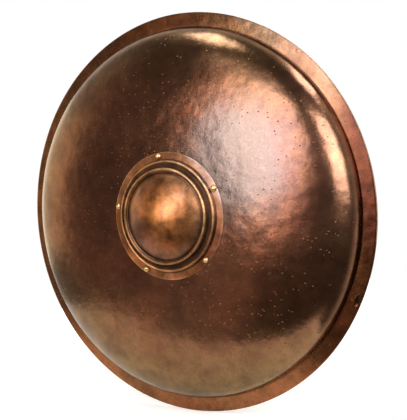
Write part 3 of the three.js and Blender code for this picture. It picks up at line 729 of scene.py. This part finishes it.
def turned_place(angle):
    lean = Matrix.Rotation(RIVET_LEAN, 4, "Z")
    return Matrix.Rotation(-radians(angle), 4, "Y") @ Matrix.Translation((RIVET_CIRCLE, RIVET_SEAT, 0)) @ lean


def round_head(radius, height, steps=9):
    turns = [pi / 2 * (1 - i / steps) for i in range(steps + 1)]
    return [(radius * cos(t), height * sin(t)) for t in turns]


def make_boss_rivet(number, angle):
    tail = [(3.0, 0.0), (4.5, 0.1), (4.3, 0.9), (2.6, 1.8), (0.0, 1.9)]
    shank = [(3.0, 0.05)] + [(r, TAIL_SEAT + h) for r, h in tail]
    bm = uneven(spun(round_head(6.5, -6.0) + shank, 28), 0.06, HAMMER_MARK)
    node, place = f"boss_rivet_{number}", TO_FRAME @ turned_place(angle)
    settle(bm, f"front_rivet_{number}", brass_finish, [node], place=place)


def make_rove(number, angle):
    ring = [(3.3, -0.3), (8.0, -0.3), (8.0, 1.2), (6.9, 1.5), (3.3, 1.6)]
    bm = spun([(r, ROVE_SEAT + h) for r, h in ring], 32, closed=True)
    soften(bm, 0.25)
    node, place = f"rivet_rove_{number}", TO_FRAME @ turned_place(angle)
    settle(bm, f"rove_{number}", brass_finish, [node], place=place)


for number, angle in enumerate(RIVET_ANGLES, 1):
    make_boss_rivet(number, angle)
    make_rove(number, angle)

# %% [markdown]
# ## The wood inside
#
# Inside, the shield is bare oiled wood: planks glued edge to edge, then turned on a lathe as one bowl. So
# the grain runs level, each plank has its own tone and figure, and the tool left faint rings. The grain is
# noise squeezed along the plank, and a sine of it gives the long figure of flat-sawn boards. The plank that
# a point belongs to is found from its height, and for the pieced rows from its place along the row too.

# %% Finish of the wood
PLANK, JOINT = 112.5, 150.0
LATHE_PITCH = 0.0032


def plank_number(place):
    row = (place.axis("Z") / (PLANK * MM)).by("FLOOR")
    pieced = abs(row + 0.5).by("COMPARE", 1.5)
    along = (place.axis("X") + JOINT * MM) / (2 * JOINT * MM)
    return row + along.by("FLOOR") * pieced * 0.37


def glue_line(place):
    """1 where two planks meet: on the level joints, and on the upright ones of the pieced rows."""
    height = place.axis("Z")
    level = height.by("PINGPONG", PLANK * MM / 2)
    off_row = abs(abs(height) - 1.5 * PLANK * MM)
    upright = abs(abs(place.axis("X")) - JOINT * MM) + off_row.by("GREATER_THAN", PLANK * MM / 2)
    return level.least(upright).remap(0.0003, 0.0016, 1, 0)


def oiled_wood():
    material, shader, place = new_finish("oiled_wood")
    lot = add(place.tree, "TexWhiteNoise", {"W": plank_number(place)}, "Value", noise_dimensions="1D")
    board = add(place.tree, "VectorMath", {0: place, 1: lot * 9.0})
    figure = board.moved(scale=(0.7, 7, 7)).noise(2.4, 3, 0.45, 0.25)
    rings = (figure * 62).by("SINE")
    fibres = board.moved(scale=(4, 150, 150)).noise(3, 5, 0.7)
    handled = place.noise(6, 4, 0.6)
    colour = blend(rings.remap(-1, 1), (0.33, 0.172, 0.074), (0.25, 0.122, 0.049))
    colour = blend(fibres.remap(0.45, 0.7) * 0.55, colour, (0.11, 0.05, 0.02))
    colour = blend(1.0, colour, blend(lot, (0.80, 0.80, 0.80), (1.16, 1.10, 1.04)), "MULTIPLY")
    colour = blend(handled.remap(0.45, 0.7) * 0.35, colour, (0.09, 0.042, 0.02))
    lathe = (off_line(place) * (2 * pi / LATHE_PITCH)).by("SINE")
    feed(shader, {
        "Base Color": blend(glue_line(place) * 0.7, colour, (0.045, 0.02, 0.01)),
        "Roughness": handled.remap(0.35, 0.7, 0.42, 0.62),
        "Normal": relief(fibres, 0.00022, relief(lathe, 0.00005)),
    })
    return material


wood_finish = oiled_wood()
print("finish", wood_finish.name)

# %% [markdown]
# The core is spun as one bowl. Then each bracket gets a flat seat, let in with a chisel: four cuts mark
# its outline, the faces inside are extruded, and the new skin drops to the seat's plane. Last, each plank
# is a copy of the bowl, bisected at its glue lines, with the cut filled.

# %% Turn the core
BRACKET_RADIUS, BRACKET_SPREAD = 360.0, 160.0
BRACKET_SLOPE, BRACKET_SEAT = radians(24.3392), -50.8607
SEAT_HALVES = {0: 13.0, 2: 23.0}
SEAT_DEPTH = 0.3
CORE_RADIUS, CORE_DEPTH, CORE_STEP, CORE_EDGE, CORE_BACK = 416.7, 90.1, 428.3, 448.9, 7.9
HOLLOW_RADIUS, HOLLOW_DEPTH = 406.7, 83.1


def bracket_place(side):
    """The frame of a bracket on the wood: X up the wall, Y out of the wood, Z round the bowl."""
    z = side * BRACKET_SPREAD / 2
    x = -sqrt(BRACKET_RADIUS ** 2 - z ** 2)
    out, up = Vector((x, 0, z)).normalized(), Vector((0, 1, 0))
    along = out * cos(BRACKET_SLOPE) + up * sin(BRACKET_SLOPE)
    normal = up * cos(BRACKET_SLOPE) - out * sin(BRACKET_SLOPE)
    return frame_of(along, normal, along.cross(normal), (x, BRACKET_SEAT, z))


def let_in_seat(bm, place):
    inverse = place.inverted()

    def middle(face):
        return inverse @ face.calc_center_median()

    near = [f for f in bm.faces if middle(f).length < 60 and f.normal.y > 0.2]
    for axis, reach in SEAT_HALVES.items():
        for sign in (-1, 1):
            geom = list({g for f in near if f.is_valid for g in (f, *f.edges, *f.verts)})
            spot, way = Vector((0, 0, 0)), place.to_3x3().col[axis]
            spot[axis] = sign * reach
            cut = bmesh.ops.bisect_plane(bm, geom=geom, dist=0.01, plane_co=place @ spot, plane_no=way)
            near = [g for g in cut["geom"] if isinstance(g, bmesh.types.BMFace)]
    seat = [f for f in near if all(abs(middle(f)[axis]) < reach for axis, reach in SEAT_HALVES.items())]
    sunk = bmesh.ops.extrude_face_region(bm, geom=seat)
    for vert in (g for g in sunk["geom"] if isinstance(g, bmesh.types.BMVert)):
        spot = inverse @ vert.co
        spot.y = -SEAT_DEPTH
        vert.co = place @ spot


def turned_core():
    front = meridian(CORE_RADIUS, CORE_DEPTH, 24)
    step = rim_fall(CORE_STEP) + UNDER_RIM
    rim = [
        (CORE_RADIUS, 2.0), (CORE_STEP, step + 0.9), (CORE_STEP, step),
        (CORE_EDGE, rim_fall(CORE_EDGE) + UNDER_RIM), (CORE_EDGE, CORE_BACK),
        (410.7, CORE_BACK), (408.2, 6.9), (407.0, 5.2), (HOLLOW_RADIUS, 3.0),
    ]
    hollow = meridian(HOLLOW_RADIUS, HOLLOW_DEPTH, 56)
    back = [(r, y + 0.85 * exp(-((r - 352) / 36) ** 2)) for r, y in hollow]
    bm = spun(front + rim + back[::-1], 224)
    for side in SIDES:
        let_in_seat(bm, bracket_place(side))
    bmesh.ops.recalc_face_normals(bm, faces=bm.faces)
    return bm


core = turned_core()
print("core faces", len(core.faces), "volume, litres", round(core.calc_volume() / 1e6, 2))


# %% Saw the planks
KERF = 0.15
LAST_ROW = 4


def sawn(bm, corner, keep):
    geom = list(bm.verts) + list(bm.edges) + list(bm.faces)
    cut = bmesh.ops.bisect_plane(bm, geom=geom, dist=0.02, plane_co=corner, plane_no=keep, clear_inner=True)
    rim = [g for g in cut["geom_cut"] if isinstance(g, bmesh.types.BMEdge)]
    bmesh.ops.triangle_fill(bm, edges=rim, use_beauty=True)


def make_plank(side, row, length="", left=None, right=None):
    bm = core.copy()
    low = (row - 1) * PLANK
    sawn(bm, (0, 0, side * (low + KERF)), (0, 0, side))
    if row < LAST_ROW:
        sawn(bm, (0, 0, side * (low + PLANK - KERF)), (0, 0, -side))
    if left is not None:
        sawn(bm, (left + KERF, 0, 0), (1, 0, 0))
    if right is not None:
        sawn(bm, (right - KERF, 0, 0), (-1, 0, 0))
    bmesh.ops.remove_doubles(bm, verts=bm.verts, dist=0.05)
    bmesh.ops.recalc_face_normals(bm, faces=bm.faces)
    name = f"{SIDES[side]}_{row}{length}"
    settle(bm, f"plank_{name}", wood_finish, [f"core_plank_{name}"], crease=30)


for side in SIDES:
    for row in (1, 3, LAST_ROW):
        make_plank(side, row)
    make_plank(side, 2, "_hand", right=-JOINT)
    make_plank(side, 2, "_middle", left=-JOINT, right=JOINT)
    make_plank(side, 2, "_elbow", left=JOINT)
core.free()

# %% [markdown]
# ## The arm band
#
# A bronze band arches over the forearm and ends in two leaf-shaped feet, riveted down. It is a flat strip
# bent along one line, so it starts as a grid: its rows run along the line and its columns across. Each row
# is as wide as the strip is there. Solidify gives the thickness, and the edges are beveled. The leather
# lining is the same strip, a little narrower, on a line that lies inside.

# %% Line and width of the arm band
GAP_HALF, GAP_FLOOR, GAP_RISE, FULLNESS = 50.0, -82.8, 76.7, 2.6
BEND = 5.0
ROOT, FOOT, NECK = 55.0, 108.3, 31
BAND_SHEET, LINING = 1.5, 2.5
OFF_BAND, OFF_LINING = 4.3, 2.5


def share_of(value, low, high):
    """How far a value has come from low to high, from 0 to 1."""
    return max(0.0, min(1.0, (value - low) / (high - low)))


def eased(value, low, high):
    t = share_of(value, low, high)
    return t * t * (3 - 2 * t)


def beside(line, distance):
    """The line that runs beside a polyline at one distance, on its right hand."""
    shifted = []
    for i, p in enumerate(line):
        before = (p - line[i - 1]).normalized() if i else None
        after = (line[i + 1] - p).normalized() if i + 1 < len(line) else None
        u, v = before or after, after or before
        shifted.append(p + Vector((u.y + v.y, -u.x - v.x)) * (distance / (1 + u.dot(v))))
    return shifted


def leaf(inset):
    """Height and half width of a foot, from its tip to its root."""
    tip, round_tip, neck = FOOT - inset, 11 - inset / 2, NECK - inset
    turns = [pi / 2 * (1 - i / 10) for i in range(11)]
    ends = [(tip - round_tip + round_tip * sin(a), round_tip * cos(a)) for a in turns]
    for i in range(1, 17):
        t = 1 - i / 16
        height = (1 - t) ** 2 * ROOT + t * (1 - t) * (ROOT + tip) + t * t * (tip - round_tip)
        ends.append((height, (1 - t) ** 2 * neck + 2 * t * (1 - t) * neck + t * t * round_tip))
    return ends


def band_rows(distance, inset):
    """Half widths and places of the strip's rows, from one foot's tip over the arch to the other's."""
    feet = leaf(inset)
    bend = [pi / 2 * i / 6 for i in range(7)]
    arch = [Vector((GAP_HALF + BEND * (1 - sin(a)), GAP_FLOOR + BEND * (1 - cos(a)))) for a in bend]
    for turn in (pi / 2 * i / 40 for i in range(3, 41)):
        out, rise = cos(turn) ** (2 / FULLNESS), sin(turn) ** (2 / FULLNESS)
        arch.append(Vector((GAP_HALF * out, GAP_FLOOR + 3 + GAP_RISE * rise)))
    line = beside([Vector((z, GAP_FLOOR)) for z, _ in feet[:-1]] + arch, distance)
    line[-1].x = 0
    rows = []
    for i, p in enumerate(line):
        half = feet[i][1] if i < len(feet) else NECK - inset + 15 * eased(p.y, -69.1, -28.1)
        rows.append((half, p.x, p.y))
    return rows + [(half, -z, y) for half, z, y in rows[-2::-1]]


def bent_grid(columns, rows, where):
    bm = bmesh.new()
    bmesh.ops.create_grid(bm, x_segments=columns, y_segments=rows, size=1.0)
    for vert in bm.verts:
        vert.co = where((vert.co.x + 1) / 2, (vert.co.y + 1) / 2)
    bmesh.ops.remove_doubles(bm, verts=bm.verts, dist=0.02)
    bmesh.ops.dissolve_degenerate(bm, edges=bm.edges, dist=0.01)
    return bm


def thickened(bm, thickness):
    bmesh.ops.solidify(bm, geom=list(bm.faces), thickness=thickness)
    bmesh.ops.recalc_face_normals(bm, faces=bm.faces)
    return bm


def strip(distance, inset, columns=10):
    rows = band_rows(distance, inset)

    def where(u, v):
        half, z, y = rows[round(v * (len(rows) - 1))]
        return Vector(((2 * u - 1) * half, y, z))

    return bent_grid(columns, len(rows) - 1, where)


print("band rows", len(band_rows(OFF_BAND, 0)))

# %% Finish and shape of the arm band
fitting_finish = aged_bronze(
    "fitting_bronze", (0.36, 0.17, 0.058), (0.33, 0.135, 0.05), (0.42, 0.21, 0.078), 0.10, 0.60,
    rough=0.30, pit_share=0.4, seed=5.2,
)


def make_arm_band():
    bm = thickened(strip(OFF_BAND, 0.0), BAND_SHEET)
    soften(bm, 0.3)
    settle(uneven(bm, 0.12, 16), "band", fitting_finish, ["arm_band"])


make_arm_band()

# %% [markdown]
# ## Leather
#
# The lining is thick, matt leather, darker in soft clouds. Leather has a skin of small
# uneven cells with creases between them, which a Voronoi pattern's distance to its edges draws well. The
# grip's leather is the same hide, but dark with sweat and shinier.

# %% Finish of the leather
def hide(name, light, dark, rough_from, rough_to, grain=420, seed=0.0):
    material, shader, place = new_finish(name)
    place = place.moved(shift=(seed, -seed, seed))
    cloudy = place.noise(22, 5, 0.6)
    creases = place.cells(grain, "DISTANCE_TO_EDGE").remap(0.02, 0.2)
    colour = blend(cloudy.remap(0.32, 0.68), light, dark)
    folds = relief(place.noise(60, 4, 0.6, 0.5), 0.0011)
    skin = relief(creases, 0.00012, folds)
    feed(shader, {
        # The creases are painted darker: painted shade in them.
        "Base Color": blend(creases.remap(0, 1, 1, 0) * 0.4, colour, (0.012, 0.006, 0.003)),
        "Roughness": cloudy.remap(0.3, 0.7, rough_from, rough_to),
        "Specular IOR Level": 0.45,
        "Normal": relief(place.noise(grain * 1.4, 4, 0.7), 0.00006, skin),
    })
    return material


lining_finish = hide("lining_leather", (0.155, 0.062, 0.024), (0.075, 0.030, 0.012), 0.6, 0.78)
grip_finish = hide("grip_leather", (0.085, 0.034, 0.014), (0.036, 0.015, 0.007), 0.38, 0.56, 520, 2.6)
print("finishes", lining_finish.name, grip_finish.name)


# %% Make the lining
def make_lining():
    bm = thickened(strip(OFF_LINING, 4.0, 14), LINING)
    soften(bm, 0.7, 3)
    uneven(bm, 0.14, 7)
    settle(bm, "lining", lining_finish, ["arm_band_lining"], crease=60)


make_lining()


# %% Rivet the band down
BAND_SEAT = -78.35


def make_pin(name, node, place, radius, height, shank, depth):
    """A rivet or nail, whose place has its Y out of the surface that it is driven into."""
    profile = [(0.0, -depth), (shank, -depth), (shank, 0.0)] + round_head(radius, height)[::-1]
    bm = uneven(spun(profile, 26), 0.04, HAMMER_MARK)
    settle(bm, name, brass_finish, [node], place=TO_FRAME @ place)


spots = [(x, BAND_SEAT, side * z) for side in SIDES for x, z in ((-20, 70.3), (20, 70.3), (0, 95.3))]
for number, spot in enumerate(spots, 1):
    place = Matrix.Translation(spot)
    make_pin(f"band_rivet_{number}", f"arm_band_rivet_{number}", place, 5.5, 3.2, 2.2, 10)

# %% [markdown]
# ## Brackets and rings
#
# Each end of the hand grip hangs by a ring in an eye that stands on an oval plate, held by two nails.
# The plate and the eye's foot are spun and then made oval. An eye or a ring is a small circle of wire
# spun round a larger one. Wire that has rubbed for years is thinner where ring and eye touch.

# %% Make the brackets
EYE_RADIUS, EYE_SPREAD = 8.0, 78.7636
WIRE = 2.0
SWING_PLACE = frame_of((0.914967, -0.403529, 0), (0.403529, 0.914967, 0), (0, 0, 1), (-345.574, -38.561, 0))
PLATE = [(0, 0.0), (11.2, 0.0), (12.0, 0.5), (12.0, 1.3), (11.5, 1.8), (10.6, 2.0), (0, 2.2)]
EYE_FOOT = [(0, 1.2), (6.6, 1.4), (5.6, 2.3), (4.4, 3.1), (3.8, 4.2), (3.5, 5.4), (0, 6.4)]


def wire_ring(radius, segments=48, sides=14):
    bm = bmesh.new()
    stand = Matrix.Translation((radius, 0, 0)) @ Matrix.Rotation(pi / 2, 4, "X")
    bmesh.ops.create_circle(bm, cap_ends=False, segments=sides, radius=WIRE, matrix=stand)
    geom = list(bm.verts) + list(bm.edges)
    bmesh.ops.spin(bm, geom=geom, axis=(0, 0, 1), angle=2 * pi, steps=segments, use_merge=True)
    bmesh.ops.remove_doubles(bm, verts=bm.verts, dist=0.001)
    bmesh.ops.recalc_face_normals(bm, faces=bm.faces)
    return bm


def joined(first, *others):
    for other in others:
        mesh = bpy.data.meshes.new("part")
        other.to_mesh(mesh)
        other.free()
        first.from_mesh(mesh)
        bpy.data.meshes.remove(mesh)
    return first


def make_bracket(side):
    place = bracket_place(side)
    plate = spun(PLATE, 64)
    plate.transform(place @ Matrix.Diagonal((1, 1, 22 / 12, 1)))
    foot = spun(EYE_FOOT, 32)
    foot.transform(place @ Matrix.Diagonal((1, 1, 0.6, 1)))
    eye = wire_ring(EYE_RADIUS)
    eye.transform(SWING_PLACE @ Matrix.Translation((0, 0, side * EYE_SPREAD)))
    name, node = f"bracket_{SIDES[side]}", f"grip_bracket_{SIDES[side]}"
    settle(joined(plate, foot, eye), name, fitting_finish, [node])


number = 0
for side in SIDES:
    make_bracket(side)
    for end in (15, -15):
        number += 1
        place = bracket_place(side) @ Matrix.Translation((0, 2.1, end))
        make_pin(f"nail_{number}", f"bracket_nail_{number}", place, 3.6, 1.8, 1.5, 7)

# %% Hang the rings
RING_RADIUS, RING_LEAN = 13.0, radians(52.0)
RUBBED_OFF = 0.25


def pull_place(side, distance):
    """A frame on the ring's pull, so far from the eye: X along the pull, Z square to the ring."""
    pull, across = Vector((0, sin(RING_LEAN), -side * cos(RING_LEAN))), Vector((1, 0, 0))
    centre = Vector((0, 0, side * EYE_SPREAD)) + pull * distance
    return SWING_PLACE @ frame_of(pull, across.cross(pull), across, centre)


def make_ring(side):
    bm = wire_ring(RING_RADIUS)
    for vert in bm.verts:
        wear_and_painted_light = RUBBED_OFF * max(0.0, abs(vert.co.x) / RING_RADIUS - 0.8) / 0.2
        inside = Vector((vert.co.x, vert.co.y, 0))
        if inside.length < RING_RADIUS:
            vert.co += inside.normalized() * wear_and_painted_light
    name, node = f"ring_{SIDES[side]}", f"grip_ring_{SIDES[side]}"
    place = TO_FRAME @ pull_place(side, RING_RADIUS)
    settle(bm, name, fitting_finish, [node], body="grip", place=place)


for side in SIDES:
    make_ring(side)

# %% [markdown]
# ## The hand grip
#
# The grip is firm leather. At each end a strap is folded round the ring and closed by a
# rivet, with a tongue of leather between its two layers. The straps run into the handle, which swells to
# a hand's grip and is sewn up along one side. All of it follows one middle line, a Bezier curve from the
# ring to the handle's middle, so one helper gives a point and two directions anywhere along it.

# %% Middle line of the grip
GRIP_RISE = 38.0
STRAP_START, HANDLE_START, STRAP_RIVET = 19.5, 44.5, 38.5
EYE = Vector((0, 0, EYE_SPREAD))
PULL = Vector((0, sin(RING_LEAN), -cos(RING_LEAN)))
SIDEWAYS = Vector((1, 0, 0))
START = EYE + PULL * STRAP_START


def grip_point(share):
    """Place and direction of the middle line: share 0 is the upper end, 1 the handle's middle."""
    leaving = START + PULL * ((GRIP_RISE - START.y) / PULL.y)
    a, b = START, START.lerp(leaving, 2 / 3)
    c, d = Vector((0, GRIP_RISE, START.z / 3)), Vector((0, GRIP_RISE, 0))
    if share < 0:
        return a + (b - a) * 3 * share, PULL
    s, t = 1 - share, share
    spot = a * s ** 3 + b * (3 * s * s * t) + c * (3 * s * t * t) + d * t ** 3
    way = (b - a) * (s * s) + (c - b) * (2 * s * t) + (d - c) * (t * t)
    return spot, way.normalized()


def share_at(distance):
    """The share at which the middle line is this far from the eye."""
    low, high = -0.5, 1.0
    for _ in range(40):
        middle = (low + high) / 2
        if (grip_point(middle)[0] - EYE).dot(PULL) < distance:
            low = middle
        else:
            high = middle
    return low


def settle_on_grip(bm, name, finish, crease=60):
    """Book a piece of the leather grip, which is drawn in the frame that swings."""
    place = TO_FRAME @ SWING_PLACE
    settle(bm, name, finish, ["hand_grip"], body="grip", place=place, crease=crease)


print("handle starts", round(share_at(HANDLE_START), 3), "rivet", round(share_at(STRAP_RIVET), 3))

# %% Fold the straps
STRAP, TONGUE = 2.2, 2.3


def fold_line():
    half = [(48 - 14 * i / 6, 2.35) for i in range(7)]
    half += [(34 - 8 * t, 2.35 + 1.15 * eased(t, 0, 1)) for t in (i / 6 for i in range(1, 7))]
    half += [(26 - 3.5 * sin(a), 3.5 * cos(a)) for a in (pi / 2 * i / 7 for i in range(1, 8))]
    return half + [(p, -a) for p, a in half[-2::-1]]


def on_strap(p, across, width):
    spot, way = grip_point(share_at(p))
    return spot + Vector((across, 0, 0)) + SIDEWAYS.cross(way) * width


def make_strap(side):
    line = fold_line()

    def fold(u, v):
        p, across = line[round(v * (len(line) - 1))]
        width = (2 * u - 1) * (5.2 - 0.4 * share_of(30 - p, 0, 5))
        return on_strap(p - share_of(32 - p, 0, 6) * width * width / 26, across, width)

    def tongue(u, v):
        return on_strap(33.5 + 13 * v, 0, (2 * u - 1) * 4.8)

    outer = thickened(bent_grid(8, len(line) - 1, fold), STRAP)
    inner = thickened(bent_grid(6, 8, tongue), TONGUE)
    bmesh.ops.translate(inner, verts=inner.verts, vec=(TONGUE / 2, 0, 0))
    bm = joined(outer, inner)
    soften(bm, 0.35, 2, 50)
    if side < 0:
        bm.transform(Matrix.Diagonal((1, 1, -1, 1)))
        bmesh.ops.reverse_faces(bm, faces=bm.faces)
    settle_on_grip(bm, f"grip_strap_{SIDES[side]}", grip_finish)


for side in SIDES:
    make_strap(side)


# %% Sew up the handle
def handle_section(share):
    swell = eased(share, 0.44, 0.85)
    lip = 1.0 if share > 0.435 else 0.72
    return max(4.5, 3.6 + 7.4 * swell) * lip, max(6.1, 5 + 6 * swell) * lip


def on_handle(along, turn):
    """A point of the handle's skin. along runs from -1, its lower end, to 1, its upper end."""
    spot, way = grip_point(1 - abs(along) * 0.575)
    thick, wide = handle_section(1 - abs(along) * 0.575)
    off_seam = turn - pi / 2
    seam = 0.7 * exp(-(off_seam / 0.085) ** 2) - 0.35 * exp(-(off_seam / 0.3) ** 2)
    spot = spot + SIDEWAYS * (thick - seam) * cos(turn) + SIDEWAYS.cross(way) * (wide - seam) * sin(turn)
    return spot if along >= 0 else Vector((spot.x, spot.y, -spot.z))


def make_handle():
    rows = [-1, -0.992, -0.985] + [-0.97 + 1.94 * i / 60 for i in range(61)] + [0.985, 0.992, 1]

    def skin(u, v):
        return on_handle(rows[round(v * (len(rows) - 1))], 2 * pi * u)

    bm = bent_grid(56, len(rows) - 1, skin)
    bmesh.ops.holes_fill(bm, edges=[e for e in bm.edges if e.is_boundary])
    bmesh.ops.recalc_face_normals(bm, faces=bm.faces)
    for vert in bm.verts:
        vert.co += vert.normal * (0.16 * noise.noise(vert.co / 9) + 0.07 * noise.noise(vert.co / 3))
    settle_on_grip(bm, "grip_handle", grip_finish)


make_handle()

# %% [markdown]
# The seam is closed with a waxed thread that crosses it on the slant. Each stitch is a small ball drawn
# out long and sunk half into the leather. There are only a few dozen faces in each, because the eye sees
# a row of them and not one.

# %% Finish and shape of the stitches
STITCHES, STITCH_HALF = 19, 0.55
SLANT_ALONG, SLANT_ROUND = 0.022, 0.26


def waxed_thread():
    material, shader, place = new_finish("waxed_thread")
    strands = (place.moved(turn=(0.6, 0, 0)).noise(900, 2) * 30).by("SINE")
    feed(shader, {
        "Base Color": blend(strands.remap(-1, 1), (0.34, 0.24, 0.13), (0.20, 0.13, 0.06)),
        "Roughness": 0.6,
        "Normal": relief(strands, 0.00008),
    })
    return material


def make_stitches():
    bm = bmesh.new()
    for i in range(STITCHES):
        along = -0.80 + 1.60 * i / (STITCHES - 1)
        left = on_handle(along - SLANT_ALONG, pi / 2 - SLANT_ROUND)
        right = on_handle(along + SLANT_ALONG, pi / 2 + SLANT_ROUND)
        reach, way = (right - left).length / 2, (right - left).normalized()
        side = way.cross(Vector((0, 1, 0))).normalized()
        up = side.cross(way)
        middle = (left + right) / 2 + up * 0.35
        place = frame_of(way * reach, side * STITCH_HALF, up * STITCH_HALF, middle)
        bmesh.ops.create_uvsphere(bm, u_segments=8, v_segments=6, radius=1.0, matrix=place)
    bmesh.ops.recalc_face_normals(bm, faces=bm.faces)
    settle_on_grip(bm, "grip_stitches", waxed_thread(), crease=80)


make_stitches()


# %% Rivet the straps
def make_grip_rivet(number, side):
    head = [(r, 3.5 + h) for r, h in round_head(3.2, 1.6)]
    bm = spun(head + [(1.4, 3.4), (1.4, -3.4)] + [(r, -h) for r, h in head[::-1]], 24)
    uneven(bm, 0.03, HAMMER_MARK)
    place = TO_FRAME @ pull_place(side, STRAP_RIVET) @ Matrix.Rotation(pi / 2, 4, "X")
    name, node = f"strap_rivet_{number}", f"grip_rivet_{number}"
    settle(bm, name, brass_finish, [node], body="grip", place=place)


for number, side in enumerate(SIDES, 1):
    make_grip_rivet(number, side)

# %% All pieces are made
print("all pieces made")
